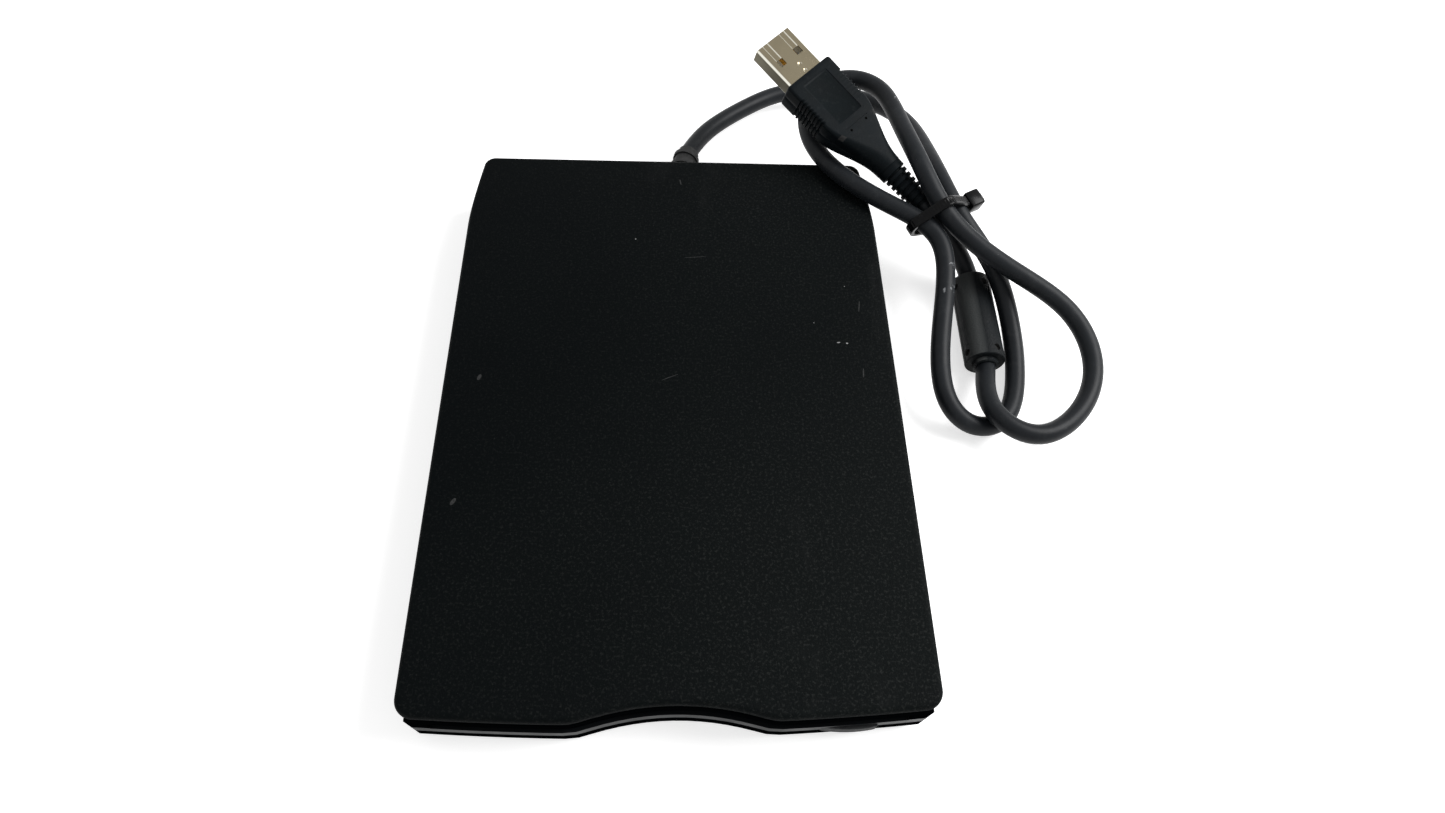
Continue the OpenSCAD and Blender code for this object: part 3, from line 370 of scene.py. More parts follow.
def black_case():
    """Grained black plastic with painted light that makes it lighter towards the front right, with dust,
    grit and marks.
    """
    m = Nodes("case_black")
    tone = m.noise(9, 3)
    grain = m.cells(3200)
    fine = m.noise(3600, 3, 0.6)
    axes = m.axes()
    # Painted light: the colour gets lighter towards the front right, as if lit from there, and also varies
    # with a random tone.
    painted_light_slope = m.math("ADD", m.math("MULTIPLY", axes["X"], 3), m.math("MULTIPLY", axes["Y"], -1))
    cloud = m.math("MULTIPLY", m.math("SUBTRACT", tone, 0.5), 0.9)
    painted_light_and_tone = m.math("ADD", m.math("ADD", painted_light_slope, 0.4), cloud)
    colour = m.ramp(painted_light_and_tone, (0.1, linear(2, 4, 5)), (0.9, linear(12, 15, 15)))
    grit = m.ramp(m.noise(1700, 3, 0.7), (0.52, 0.0), (0.72, 1.0))
    # The grit is made fainter where the painted light is darker.
    grit = m.math("MULTIPLY", grit, m.ramp(painted_light_and_tone, (0.1, 0.1), (0.9, 1.0)))
    dust = m.ramp(m.noise(2400, 2, 0.5), (0.74, 0.0), (0.8, 1.0))
    rub = m.ramp(m.noise(34, 6, 0.7, (1, 0.35, 1)), (0.6, 0.0), (0.74, 1.0))
    coats = ((grit, 0.3, (72, 74, 72)), (dust, 0.07, (150, 150, 150)), (rub, 0.02, (120, 120, 120)))
    for mask, share, shade in coats:
        colour = m.mix(m.math("MULTIPLY", mask, share), colour, linear(*shade))
    for places, share in ((FAINT_MARKS, 0.09), (BRIGHT_MARKS, 0.7)):
        marks = m.math("MULTIPLY", m.spots(places), m.math("MULTIPLY", fine, share))
        colour = m.mix(marks, colour, linear(205, 205, 205))
    m.set(Base_Color=colour, Roughness=m.ramp(tone, (0.3, 0.52), (0.7, 0.62)), Specular_IOR_Level=0.03)
    height = m.math("ADD", m.math("MULTIPLY", grain, 0.7), m.math("MULTIPLY", fine, 0.5))
    m.bump(height, 0.0001, 0.5)
    return m.material


def bezel_painted_light():
    """Black plastic painted near black as shade, with a lighter band of painted light and a little gloss
    between two heights, under the slot.
    """
    m = Nodes("bezel_painted_light_band")
    tone = m.noise(40, 3)
    fine = m.noise(2500, 2)
    height = m.axes()["Z"]
    above = m.math("GREATER_THAN", height, PAINTED_LIGHT_LOW * MM)
    below = m.math("LESS_THAN", height, PAINTED_LIGHT_HIGH * MM)
    band = m.math("MULTIPLY", above, below)
    # Painted light: the band is lighter to stand for the lit face and slot floor; the rest is painted near
    # black as painted shade.
    colour = m.mix(band, linear(3, 4, 5), linear(20, 22, 24))
    m.set(Base_Color=m.mix(m.math("MULTIPLY", tone, 0.2), colour, linear(10, 11, 12)),
          Roughness=m.ramp(m.noise(160, 4), (0.3, 0.3), (0.7, 0.4)),
          Specular_IOR_Level=m.math("MULTIPLY", band, 0.03))
    m.bump(fine, 0.00004, 0.4)
    return m.material


def button_grain():
    m = Nodes("button_grained")
    grain = m.cells(2200)
    tone = m.noise(500, 3)
    m.set(Base_Color=m.ramp(tone, (0.3, linear(24, 25, 26)), (0.7, linear(46, 47, 48))),
          Roughness=m.ramp(tone, (0.3, 0.52), (0.7, 0.66)), Specular_IOR_Level=0.1)
    m.bump(grain, 0.00015, 0.6)
    return m.material


def rubber_lead():
    """The lead's soft black skin, with dust, small specks and a few scuffs."""
    m = Nodes("lead_rubber")
    tone = m.noise(60, 4)
    dust = m.ramp(m.noise(420, 5, 0.6), (0.52, 0.0), (0.8, 1.0))
    specks = m.ramp(m.noise(1500, 2), (0.78, 0.0), (0.82, 1.0))
    colour = m.ramp(tone, (0.3, linear(19, 21, 24)), (0.7, linear(27, 30, 33)))
    colour = m.mix(m.math("MULTIPLY", dust, 0.06), colour, linear(110, 112, 112))
    colour = m.mix(m.math("MULTIPLY", specks, 0.4), colour, linear(200, 200, 200))
    scuffs = m.math("MULTIPLY", m.near(LEAD_SCUFFS), m.ramp(m.noise(1300, 2), (0.54, 0.0), (0.62, 0.5)))
    colour = m.mix(scuffs, colour, linear(150, 152, 155))
    m.set(Base_Color=colour, Roughness=m.ramp(tone, (0.3, 0.4), (0.7, 0.5)), Specular_IOR_Level=0.13)
    m.bump(m.noise(1800, 3), 0.00006, 0.4)
    return m.material


def moulded_black(name="moulded_black", low=(8, 12, 14), high=(13, 18, 21), rough=(0.42, 0.54),
                  depth=0.00008, shine=0.05, highlight_side=None):
    """Moulded black plastic, with a painted highlight on the side that faces a direction, if one is given.
    """
    m = Nodes(name)
    tone = m.noise(180, 4)
    dust = m.ramp(m.noise(900, 4, 0.6), (0.55, 0.0), (0.85, 1.0))
    colour = m.ramp(tone, (0.3, linear(*low)), (0.7, linear(*high)))
    colour = m.mix(m.math("MULTIPLY", dust, 0.04), colour, linear(120, 124, 124))
    if highlight_side:
        # Painted highlight: lighter where the surface faces the given direction, as if lit from there.
        painted_highlight = m.ramp(m.facing(highlight_side), (0.86, 0.0), (0.985, 0.9))
        colour = m.mix(painted_highlight, colour, linear(66, 68, 68))
    m.set(Base_Color=colour, Roughness=m.ramp(tone, (0.3, rough[0]), (0.7, rough[1])),
          Specular_IOR_Level=shine)
    m.bump(m.noise(2600, 3, 0.6), depth, 0.5)
    return m.material


def nickel():
    """Bright metal with a painted highlight along its long rounded edges and painted shade on its two narrow
    sides.
    """
    m = Nodes("plug_nickel")
    smudge = m.noise(120, 2, 0.5)
    streak = m.noise(500, 2, 0.5)
    bright = linear(138, 129, 108)
    dark = tuple(c * 0.8 for c in bright)
    colour = m.ramp(smudge, (0.3, dark), (0.7, bright))
    across, up = m.facing(PLUG_TURN @ Vector((0, 1, 0))), m.facing(PLUG_TURN @ Vector((0, 0, 1)))
    sides, faces = m.math("MULTIPLY", across, across), m.math("MULTIPLY", up, up)
    # Painted shade: the two narrow sides are darker.
    colour = m.mix(m.ramp(sides, (0.7, 0.0), (0.95, 0.8)), colour, linear(96, 93, 80))
    # Painted highlight: the rounded edges between sides and faces are near white.
    edges = m.ramp(m.math("MULTIPLY", sides, faces), (0.08, 0.0), (0.2, 1.0))
    colour = m.mix(edges, colour, linear(240, 238, 226))
    rough = m.math("ADD", m.ramp(smudge, (0.3, 0.16), (0.7, 0.1)), m.math("MULTIPLY", sides, 0.3))
    m.set(Base_Color=colour, Metallic=1.0, Roughness=rough)
    m.bump(streak, 0.000012, 0.3)
    return m.material


def plain(name, low, high, rough=0.5, metal=0.0, scale=120, depth=0.00005):
    """A finish for what lies inside: two tones, varied gloss and a fine grain."""
    m = Nodes(name)
    tone = m.noise(scale, 4)
    m.set(Base_Color=m.ramp(tone, (0.3, linear(*low)), (0.7, linear(*high))), Metallic=metal,
          Roughness=m.ramp(m.noise(scale * 3, 3), (0.3, rough * 0.85), (0.7, rough * 1.15)))
    m.bump(m.noise(scale * 12, 2), depth, 0.4)
    return m.material


# Scuffs and marks on the cover: x, y, radius, stretch, turn
FAINT_MARKS = [(1.6, 63.5, 0.16, 6, 100), (5.2, 38.5, 0.07, 40, 5), (-1.0, 3.5, 0.08, 26, 24),
               (-43.5, 3.2, 0.4, 2, 70), (-45.5, -27, 0.4, 2.2, 60), (44.6, 24, 0.12, 14, 82),
               (43.6, 5, 0.14, 9, 84)]
BRIGHT_MARKS = [(-9.6, 44, 0.16, 1, 0), (38.6, 13.4, 0.16, 2.6, 10), (40.6, 13.2, 0.2, 1.3, 0),
                (41.6, 30, 0.11, 1, 0), (33.2, 19, 0.1, 1, 0)]
# Scuffs on the lead: x, y, z, radius
LEAD_SCUFFS = [(69.8, 36.5, 17, 1.4), (69.7, 31, 15.8, 1.3), (67.2, 30, 16, 0.8), (59.5, 85.5, 27.1, 0.9)]

# The plug's turn: its own +X points to its tip, +Y to its left and +Z out of its upper face
PLUG_HEADING = 136
PLUG_TILT = 18
PLUG_ROLL = -7
PLUG_TURN = (Matrix.Rotation(math.radians(PLUG_HEADING), 3, "Z")
             @ Matrix.Rotation(math.radians(-PLUG_TILT), 3, "Y")
             @ Matrix.Rotation(math.radians(PLUG_ROLL), 3, "X"))

CASE = black_case()
BEZEL = bezel_painted_light()
BUTTON = button_grain()
LEAD = rubber_lead()
BODY = moulded_black()
PANEL = moulded_black("panel_matte", (7, 11, 13), (14, 19, 21), (0.6, 0.75), 0.0002)
# The bead gets a painted highlight on its upper left side.
BEAD = moulded_black("bead_plastic", (11, 13, 15), (18, 21, 23), (0.42, 0.54), 0.0003, 0.08,
                     highlight_side=(-0.59, 0, 0.81))
TIE = moulded_black("tie_nylon", (4, 4, 5), (8, 8, 9), (0.22, 0.3), 0.00003, 0.1)
# Painted shade: the walls of small holes are painted near black, darker than the plastic round them.
HOLE = plain("hole_painted_shade", (3, 3, 3), (6, 6, 6), 0.9)
NICKEL = nickel()
SHELL_INSIDE = plain("shell_inside", (226, 216, 186), (242, 234, 210), 0.5, 0.0, 300)
STEEL = plain("zinc_steel", (150, 152, 155), (182, 184, 186), 0.36, 1.0)
BRIGHT = plain("bright_steel", (190, 192, 194), (214, 215, 216), 0.24, 1.0)
BOARD = plain("board_green", (14, 74, 42), (26, 98, 58), 0.45)
WHITE = plain("white_plastic", (205, 205, 198), (226, 226, 220), 0.45)
GOLD = plain("gold_contact", (206, 160, 70), (232, 190, 104), 0.25, 1.0, 300)
FOOT = plain("foot_rubber", (8, 9, 9), (14, 15, 15), 0.75, 0.0, 300, 0.0001)
WIRE = plain("lead_red", (120, 26, 22), (150, 36, 30), 0.5)


# The case outline, anticlockwise from the left end of the front
def notch(x):
    """How far the finger notch reaches back, with soft ends."""
    return NOTCH_SOFT * math.log(1 + math.exp(NOTCH_DEPTH * (1 - (x / NOTCH_HALF) ** 2) / NOTCH_SOFT))


def front_y(x):
    return APEX_Y + x * x / (2 * BOW_R) + notch(x)


def side_x(y):
    """Half the width of the case, which tapers towards the back."""
    return CASE_W / 2 - TAPER_IN * max(0, (y - BACK_Y + TAPER_L) / TAPER_L) ** TAPER_POWER


def corner(x, y, r, start, steps=12):
    """A quarter of a circle, anticlockwise from an angle in degrees."""
    turns = [math.radians(start + 90 * i / steps) for i in range(steps + 1)]
    return [(x + r * math.cos(a), y + r * math.sin(a)) for a in turns]


def case_outline(front_steps=120, side_steps=16):
    end_x = CASE_W / 2 - FRONT_CORNER_R
    back_end_y = BACK_Y - BACK_CORNER_R
    taper_y = BACK_Y - TAPER_L
    front_xs = [end_x * (2 * i / front_steps - 1) for i in range(1, front_steps)]
    front = [(x, front_y(x)) for x in front_xs]
    side_ys = [taper_y + (back_end_y - taper_y) * i / side_steps for i in range(side_steps)]
    sides = [(side_x(y), y) for y in side_ys]
    half = (corner(end_x, front_y(end_x) + FRONT_CORNER_R, FRONT_CORNER_R, -90) + sides
            + corner(side_x(back_end_y) - BACK_CORNER_R, back_end_y, BACK_CORNER_R, 0))
    return front + half + [(-x, y) for x, y in reversed(half)]


def inset(points, d):
    """An anticlockwise outline moved in by d."""
    made = []
    n = len(points)
    for i, (x, y) in enumerate(points):
        ax, ay = points[i - 1]
        bx, by = points[(i + 1) % n]
        length = math.hypot(bx - ax, by - ay)
        made.append((x - d * (by - ay) / length, y + d * (bx - ax) / length))
    return made


OUTLINE = case_outline()


def level(d, z):
    """The case outline, moved in by d, at a height."""
    return [(x, y, z) for x, y in inset(OUTLINE, d)]


def bezel_cutter():
    return box_mesh((BEZEL_LOW.x - BEZEL_FIT, FACE_Y - OVERRUN, BEZEL_LOW.z - BEZEL_FIT),
                    (BEZEL_HIGH.x + BEZEL_FIT, FACE_Y + THROAT_L, BEZEL_HIGH.z + BEZEL_FIT))


def boot_cutter():
    return rod((BOOT_X, BACK_Y - WALL - OVERRUN, SPLIT_Z), (BOOT_X, BACK_Y + OVERRUN, SPLIT_Z),
               BOOT_NECK_R, 48)


EDGE_TURNS = [math.pi / 2 * i / EDGE_STEPS for i in range(EDGE_STEPS + 1)]


def top_cover():
    outer = [level(SPLIT_BREAK, SPLIT_Z), level(0, SPLIT_Z + SPLIT_BREAK)]
    outer += [level(TOP_EDGE_R * (1 - math.cos(a)), CASE_H - TOP_EDGE_R + TOP_EDGE_R * math.sin(a))
              for a in EDGE_TURNS]
    outer.append(level(TOP_EDGE_R + EDGE_FLAT, CASE_H))
    inner = [level(WALL, CASE_H - WALL), level(WALL, SPLIT_Z)]
    piece = make_piece("cover_top_shell", *loft(inner + outer), [CASE],
                       replaces=["top_cover"], slot="case_plastic")
    cut(piece, [bezel_cutter(), boot_cutter()])


def bottom_cover():
    outer = [level(BOTTOM_EDGE_R + EDGE_FLAT, FOOT_H)]
    outer += [level(BOTTOM_EDGE_R * (1 - math.sin(a)), FOOT_H + BOTTOM_EDGE_R * (1 - math.cos(a)))
              for a in EDGE_TURNS]
    outer += [level(0, SPLIT_Z - SPLIT_BREAK), level(SPLIT_BREAK, SPLIT_Z)]
    inner = [level(WALL, SPLIT_Z), level(WALL, FOOT_H + WALL)]
    piece = make_piece("cover_bottom_shell", *loft(outer + inner), [CASE],
                       replaces=["bottom_cover"], slot="case_plastic")
    cutters = [bezel_cutter(), boot_cutter()]
    for side in (-1, 1):
        x = side * FOOT_X
        cutters += [rod((x, y, 0), (x, y, FOOT_H + FOOT_SINK), FOOT_R, 48) for y in (-FOOT_Y, FOOT_Y)]
        x = side * SCREW_X
        cutters.append(rod((x, SCREW_Y, 0), (x, SCREW_Y, FOOT_H + WALL + HEAD_BORE_OVER), HEAD_BORE_R, 40))
    cut(piece, cutters)


# The lead's route from the boot round the tied loops to the bead, and on to the plug, in metres
LOOPS_ROUTE = [
    (.004, .0835, .008), (.009, .094, .007), (.021, .105, .006), (.033, .113, .006), (.047, .113, .0055),
    (.059, .107, .008), (.067, .095, .012), (.069, .079, .016), (.0695, .063, .021), (.0735, .0515, .0185),
    (.0835, .0415, .012), (.0865, .027, .0065), (.0865, .0135, .003), (.0825, 0, .0026),
    (.072, -.003, .0035), (.064, .003, .008), (.065, .018, .011), (.0685, .033, .014),
    (.069, .0455, .0175), (.0615, .0515, .019), (.0515, .057, .0196), (.0395, .068, .0196),
    (.0345, .082, .0196), (.038, .0955, .0215), (.0485, .099, .0235), (.0575, .093, .0245),
    (.0595, .0785, .0255), (.062, .061, .0285), (.0695, .0485, .0195), (.084, .036, .017),
    (.0995, .028, .0135), (.105, .0145, .0095), (.1, .001, .008), (.086, -.0095, .008),
    (.0735, -.0005, .009), (.078, .0145, .005)]
PLUG_ROUTE = [(.0785, .0415, .005), (.077, .047, .0075), (.0685, .0515, .0165), (.0645, .056, .0185)]
LEAD_D = 0.0048


def curve(route, steps):
    """A smooth curve through space that starts and ends at the route's own ends."""
    route = [Vector(p) for p in route]
    p = [2 * route[0] - route[1]] + route + [2 * route[-1] - route[-2]]
    made = []
    for i in range(len(route) - 1):
        for k in range(steps):
            t = k / steps
            made.append(((1 - t) ** 3 * p[i] + (3 * t ** 3 - 6 * t * t + 4) * p[i + 1]
                         + (-3 * t ** 3 + 3 * t * t + 3 * t + 1) * p[i + 2] + t ** 3 * p[i + 3]) / 6)
    return made + [route[-1]]


def tube(path, radius, sides=24):
    """Rings along a path that never twist."""
    rings = []
    side = None
    n = len(path)
    for i, centre in enumerate(path):
        along = (path[min(i + 1, n - 1)] - path[max(i - 1, 0)]).normalized()
        side = along.orthogonal() if side is None else side - side.dot(along) * along
        side.normalize()
        rings.append(circle(centre, radius, side, along.cross(side), sides))
    return loft(rings)


LEAD_STEPS = 10
LEAD_PATH = curve(LOOPS_ROUTE, LEAD_STEPS) + curve(PLUG_ROUTE, LEAD_STEPS)


def lead():
    path = [p / MM for p in LEAD_PATH]
    points, faces = tube(path, LEAD_D / 2 / MM)
    return make_piece("lead", points, faces, [LEAD], sharp=60, replaces=["cord"], slot="lead_plastic")


# The camera stands where the photograph was taken
CAMERA_PLACE = (-0.0011, -0.1009, 0.1849)
CAMERA_YAW = 7.0
CAMERA_PITCH = 59.85
CAMERA_ROLL = 6.31
PHOTO_W = 1445
FOCAL_PIXELS = 870
SENSOR_W = 36
CLIP_START = 0.005


def camera():
    yaw, pitch, roll = (math.radians(v) for v in (CAMERA_YAW, CAMERA_PITCH, CAMERA_ROLL))
    right = Vector((math.cos(yaw), -math.sin(yaw), 0))
    ahead = Vector((math.sin(yaw) * math.cos(pitch), math.cos(yaw) * math.cos(pitch), -math.sin(pitch)))
    up = right.cross(ahead)
    c, s = math.cos(roll), math.sin(roll)
    right, up = c * right + s * up, c * up - s * right
    data = bpy.data.cameras.new("camera")
    data.sensor_width = SENSOR_W
    data.lens = SENSOR_W * FOCAL_PIXELS / PHOTO_W
    data.clip_start = CLIP_START
    eye = bpy.data.objects.new("camera", data)
    turn = Matrix((right, up, -ahead)).transposed().to_4x4()
    eye.matrix_world = Matrix.Translation(CAMERA_PLACE) @ turn
    scene.collection.objects.link(eye)
    scene.camera = eye


# Sizes of the plug; distances along its body are measured back from its front
PLUG_L = 32
RELIEF_L = 13
PLUG_W = 15.6
PLUG_H = 7.6
PLUG_TAIL_W = 7.1
PLUG_TAIL_DROP = 0.55
DROP_START = 16
FRONT_EDGE_L = 0.5
FRONT_EDGE_W = 0.7
FRONT_EDGE_H = 0.6
TAPER_START = 13.6
TAPER_SHAPE = 0.9
BODY_EDGE_R = 0.75
# The edges get rounder from one distance to the other, up to a share of half the body's size
ROUND_START = 13
ROUND_END = 30
ROUND_SHARE = 0.97
SEAM_GROOVE = 0.14
TOOTH_START = 4.6
TOOTH_COUNT = 8
TOOTH_PITCH = 1.1
TOOTH_DEPTH = 0.42
TOOTH_FLANK = 0.12
PANEL_FRONT, PANEL_BACK, PANEL_HALF_W, PANEL_DEPTH, PANEL_R = 2.1, 16, 4.45, 0.28, 0.6
SEAM_FRONT, SEAM_BACK, SEAM_HALF_W, SEAM_DEPTH = 17.9, 18.1, 3.9, 0.2
PIN_X, PIN_Y, PIN_R, PIN_DEPTH, PIN_REACH = 18.9, 2.8, 0.38, 1, 0.5
SHELL_W = 12
SHELL_H = 4.5
SHELL_L = 12.8
SHELL_SINK = 6
SHELL_FIT = 0.05
SHELL_WALL = 0.3
SHELL_EDGE = 0.12
SHELL_CORNER_R = 0.85
# The windows and dimples: distances along the shell are measured back from its tip
WINDOW_BACK, WINDOW_Y, WINDOW_L, WINDOW_W = 6.4, 3.05, 2, 2.1
DIMPLES = [(9.6, 1.5), (11.7, 1.1)]
DIMPLE_Y, DIMPLE_DEPTH = -0.6, 0.16
# The two lanes from the windows to the tip: their depth, and half their width at the floor and at the top
LANE_DEPTH = 0.13
LANE_FLOOR = 0.72
LANE_TOP = 0.98


def plug_space():
    front = Vector(PLUG_ROUTE[-1]) / MM + (PLUG_L + RELIEF_L) * (PLUG_TURN @ Vector((1, 0, 0)))
    return Matrix.Translation(front) @ PLUG_TURN.to_4x4()


PLUG_SPACE = plug_space()


def at_plug(parts):
    """Points and faces moved from the plug's own space to the case's."""
    points, faces = parts
    return [PLUG_SPACE @ Vector(p) for p in points], faces


def rounded_ring(x, w, h, r, groove=0.0):
    """A rounded rectangle across the plug, with an optional groove at mid height on both sides."""
    rise_shares = (-1, -0.35, -0.07, 0, 0.07, 0.35)
    steps = 8
    flat_y, flat_z = w / 2 - r, h / 2 - r
    side = [(w / 2 - (groove if share == 0 else 0), flat_z * share) for share in rise_shares]
    turns = [math.pi / 2 * i / steps for i in range(steps + 1)]
    side += [(flat_y + r * math.cos(a), flat_z + r * math.sin(a)) for a in turns]
    top = [(flat_y * (1 - i / steps), h / 2) for i in range(1, steps)]
    half = side + top + [(-y, z) for y, z in reversed(side)]
    under = [(y, -z) for y, z in reversed(half) if z > flat_z + r * 0.01]
    return [(x, y, z) for y, z in half + under]


def blend(a, b, t):
    """From a to b as t goes from 0 to 1, with soft ends."""
    t = min(1, max(0, t))
    return a + (b - a) * t * t * (3 - 2 * t)


def front_edge(s, size):
    """How much the body's front edge takes off a size at a distance behind the front."""
    return size * (1 - s / FRONT_EDGE_L) ** 2 if s < FRONT_EDGE_L else 0


def body_width(s):
    """Width of the moulded body at a distance behind its front."""
    w = PLUG_W - front_edge(s, FRONT_EDGE_W)
    u = (s - TOOTH_START) / TOOTH_PITCH
    if 0 <= u <= TOOTH_COUNT:
        phase = u % 1
        w -= 2 * TOOTH_DEPTH * blend(0, 1, (min(phase, 1 - phase) - TOOTH_FLANK) / TOOTH_FLANK)
    if s > TAPER_START:
        w -= (PLUG_W - PLUG_TAIL_W) * blend(0, 1, (s - TAPER_START) / (PLUG_L - TAPER_START)) ** TAPER_SHAPE
    return w


def body_rings():
    """The body from its front to its tail, with close steps at the front edge and the teeth."""
    tooth_steps, taper_steps = 16, 40
    stops = [0, 0.06, 0.15, 0.3, FRONT_EDGE_L, 1.5, 3, 4.2, TOOTH_START - 0.05]
    stops += [TOOTH_START + TOOTH_PITCH * i / tooth_steps for i in range(tooth_steps * TOOTH_COUNT + 1)]
    taper_l = PLUG_L - TAPER_START
    stops += [TAPER_START + taper_l * i / taper_steps for i in range(1, taper_steps + 1)]
    rings = []
    for s in stops:
        w = body_width(s)
        drop = PLUG_TAIL_DROP * blend(0, 1, (s - DROP_START) / (PLUG_L - DROP_START))
        h = PLUG_H - front_edge(s, FRONT_EDGE_H) - drop
        r = blend(BODY_EDGE_R, ROUND_SHARE * min(w, h) / 2, (s - ROUND_START) / (ROUND_END - ROUND_START))
        rings.append(rounded_ring(-s, w, h, r, SEAM_GROOVE))
    return rings


def plug_body():
    """The moulded body with its teeth, bare panel, mould line, two pin holes and the shell's socket."""
    piece = make_piece("plug_body", *at_plug(loft(body_rings())), [BODY, PANEL, HOLE], sharp=50,
                       replaces=["plug_overmold"], slot="plug_plastic")
    top = PLUG_H / 2
    cutters = [box_mesh((-PANEL_BACK, -PANEL_HALF_W, top - PANEL_DEPTH),
                        (-PANEL_FRONT, PANEL_HALF_W, PLUG_H), PANEL_R),
               box_mesh((-SEAM_BACK, -SEAM_HALF_W, top - SEAM_DEPTH), (-SEAM_FRONT, SEAM_HALF_W, PLUG_H))]
    cutters += [rod((-PIN_X, y, top - PIN_DEPTH), (-PIN_X, y, PLUG_H), PIN_R, 20) for y in (-PIN_Y, PIN_Y)]
    half_w, half_h = SHELL_W / 2 + SHELL_FIT, SHELL_H / 2 + SHELL_FIT
    cutters.append(box_mesh((-SHELL_SINK, -half_w, -half_h), (1, half_w, half_h)))
    cut(piece, [at_plug(c) for c in cutters], 40)
    back = PLUG_SPACE.inverted()
    for face in piece.data.polygons:
        x, y, z = back @ (face.center / MM)
        floor_z = top - PANEL_DEPTH
        if -PANEL_BACK < x < -PANEL_FRONT and abs(y) < PANEL_HALF_W and abs(z - floor_z) < PANEL_DEPTH / 5:
            face.material_index = 1
        # The pin holes' walls get the painted shade.
        elif (abs(x + PIN_X) < PIN_REACH and abs(y) > PIN_Y - PIN_REACH
              and top - 1.1 * PIN_DEPTH < z < top - 0.05):
            face.material_index = 2
    return piece


# The relief: a collar, then ribs that get smaller towards the lead
COLLAR_R = 3.5
COLLAR_FACE_R = 3.4
COLLAR_SUNK_R = 3.1
COLLAR_L = 1.9
COLLAR_SINK = 0.6
COLLAR_GAP = 0.15
RIB_COUNT = 6
RIB_SHARE = 0.62
RIB_R = 3.2
RIB_END_R = 2.8
RIB_CORE_R = 2.5
RIB_EDGE = 0.12
RIB_GAP = 0.6
RIB_TAIL = 0.1


def plug_relief():
    profile = [(-COLLAR_SINK, COLLAR_SUNK_R), (0, COLLAR_FACE_R), (RIB_EDGE, COLLAR_R), (COLLAR_L, COLLAR_R),
               (COLLAR_L + COLLAR_GAP, COLLAR_R - COLLAR_GAP), (COLLAR_L + COLLAR_GAP, RIB_CORE_R)]
    pitch = (RELIEF_L - COLLAR_L - RIB_GAP - RIB_TAIL) / RIB_COUNT
    for i in range(RIB_COUNT):
        start = COLLAR_L + RIB_GAP + pitch * i
        end = start + pitch * RIB_SHARE
        r = RIB_R - (RIB_R - RIB_END_R) * i / RIB_COUNT
        profile += [(start, RIB_CORE_R), (start, r - RIB_EDGE), (start + RIB_EDGE, r), (end - RIB_EDGE, r),
                    (end, r - RIB_EDGE), (end, RIB_CORE_R)]
    profile.append((RELIEF_L, RIB_CORE_R))
    points, faces = turned(profile, (-PLUG_L, 0, 0), (-1, 0, 0))
    return make_piece("plug_relief", *at_plug((points, faces)), [BODY], sharp=40, slot="plug_plastic")


def ball(centre, r, steps=16, sides=32):
    """A ball that presses a dimple."""
    turns = [math.pi * i / steps for i in range(1, steps)]
    profile = [(r - r * math.cos(a), r * math.sin(a)) for a in turns]
    return turned(profile, Vector(centre) - Vector((0, 0, r)), (0, 0, 1), sides)


def plug_shell():
    """The folded metal shell with its windows, lanes and dimples, and no mark."""
    edge, corner_r = SHELL_EDGE, SHELL_CORNER_R
    outer = [rounded_ring(-SHELL_SINK, SHELL_W, SHELL_H, corner_r),
             rounded_ring(SHELL_L - edge, SHELL_W, SHELL_H, corner_r),
             rounded_ring(SHELL_L, SHELL_W - 2 * edge, SHELL_H - 2 * edge, corner_r - edge)]
    inner_w, inner_h = SHELL_W - 2 * SHELL_WALL, SHELL_H - 2 * SHELL_WALL
    inner_r = corner_r - SHELL_WALL + SHELL_FIT
    inner = [rounded_ring(x, inner_w, inner_h, inner_r) for x in (SHELL_L - edge, -SHELL_SINK + SHELL_WALL)]
    piece = make_piece("plug_metal_shell", *at_plug(loft(outer + inner)), [NICKEL, SHELL_INSIDE], sharp=40,
                       replaces=["plug_shell"], slot="plug_metal")
    window_x = SHELL_L - WINDOW_BACK
    half_l, half_w = WINDOW_L / 2, WINDOW_W / 2
    top = SHELL_H / 2
    section = [(-LANE_FLOOR, top - LANE_DEPTH), (LANE_FLOOR, top - LANE_DEPTH), (LANE_TOP, top),
               (LANE_TOP, top + 1), (-LANE_TOP, top + 1), (-LANE_TOP, top)]
    cutters = []
    for y in (-WINDOW_Y, WINDOW_Y):
        cutters.append(box_mesh((window_x - half_l, y - half_w, -SHELL_H),
                                (window_x + half_l, y + half_w, SHELL_H)))
        for side in (-1, 1):
            lane = [[(x, y + dy, side * z) for dy, z in section] for x in (window_x, SHELL_L + 1)]
            cutters.append(loft(lane))
    for back_by, r in DIMPLES:
        cutters.append(ball((SHELL_L - back_by, DIMPLE_Y, top + r - DIMPLE_DEPTH), r))
    cut(piece, [at_plug(c) for c in cutters], 18)
    back = PLUG_SPACE.inverted()
    slack = 0.02
    for face in piece.data.polygons:
        x, y, z = back @ (face.center / MM)
        if abs(z) < inner_h / 2 + slack and abs(y) < inner_w / 2 + slack and x < SHELL_L - 10 * slack:
            face.material_index = 1
    return piece


BEAD_START = Vector(LOOPS_ROUTE[-1]) / MM
BEAD_END = Vector(PLUG_ROUTE[0]) / MM
BEAD_R = 5
BEAD_EDGE_R = 0.4
BEAD_BORE_R = 2.5
# The necks at its two ends: length, radius and what the rim takes off the radius
BEAD_NECK_L, BEAD_NECK_R, BEAD_RIM = 1.2, 3.2, 0.3
BEAD_END_NECK_L, BEAD_END_NECK_R, BEAD_END_RIM = 0.2, 3.1, 0.1
# The upper half shell is a ledge smaller; angles are degrees round the bead from its top
BEAD_LEDGE = 0.14
BEAD_UPPER_TURN, BEAD_UPPER_HALF = -23, 65
BEAD_HOLE_ANGLES = (-73, 27)
BEAD_HOLE_PLACES = (3.4, 23.9)
BEAD_HOLE_R, BEAD_HOLE_DEPTH = 0.95, 0.9


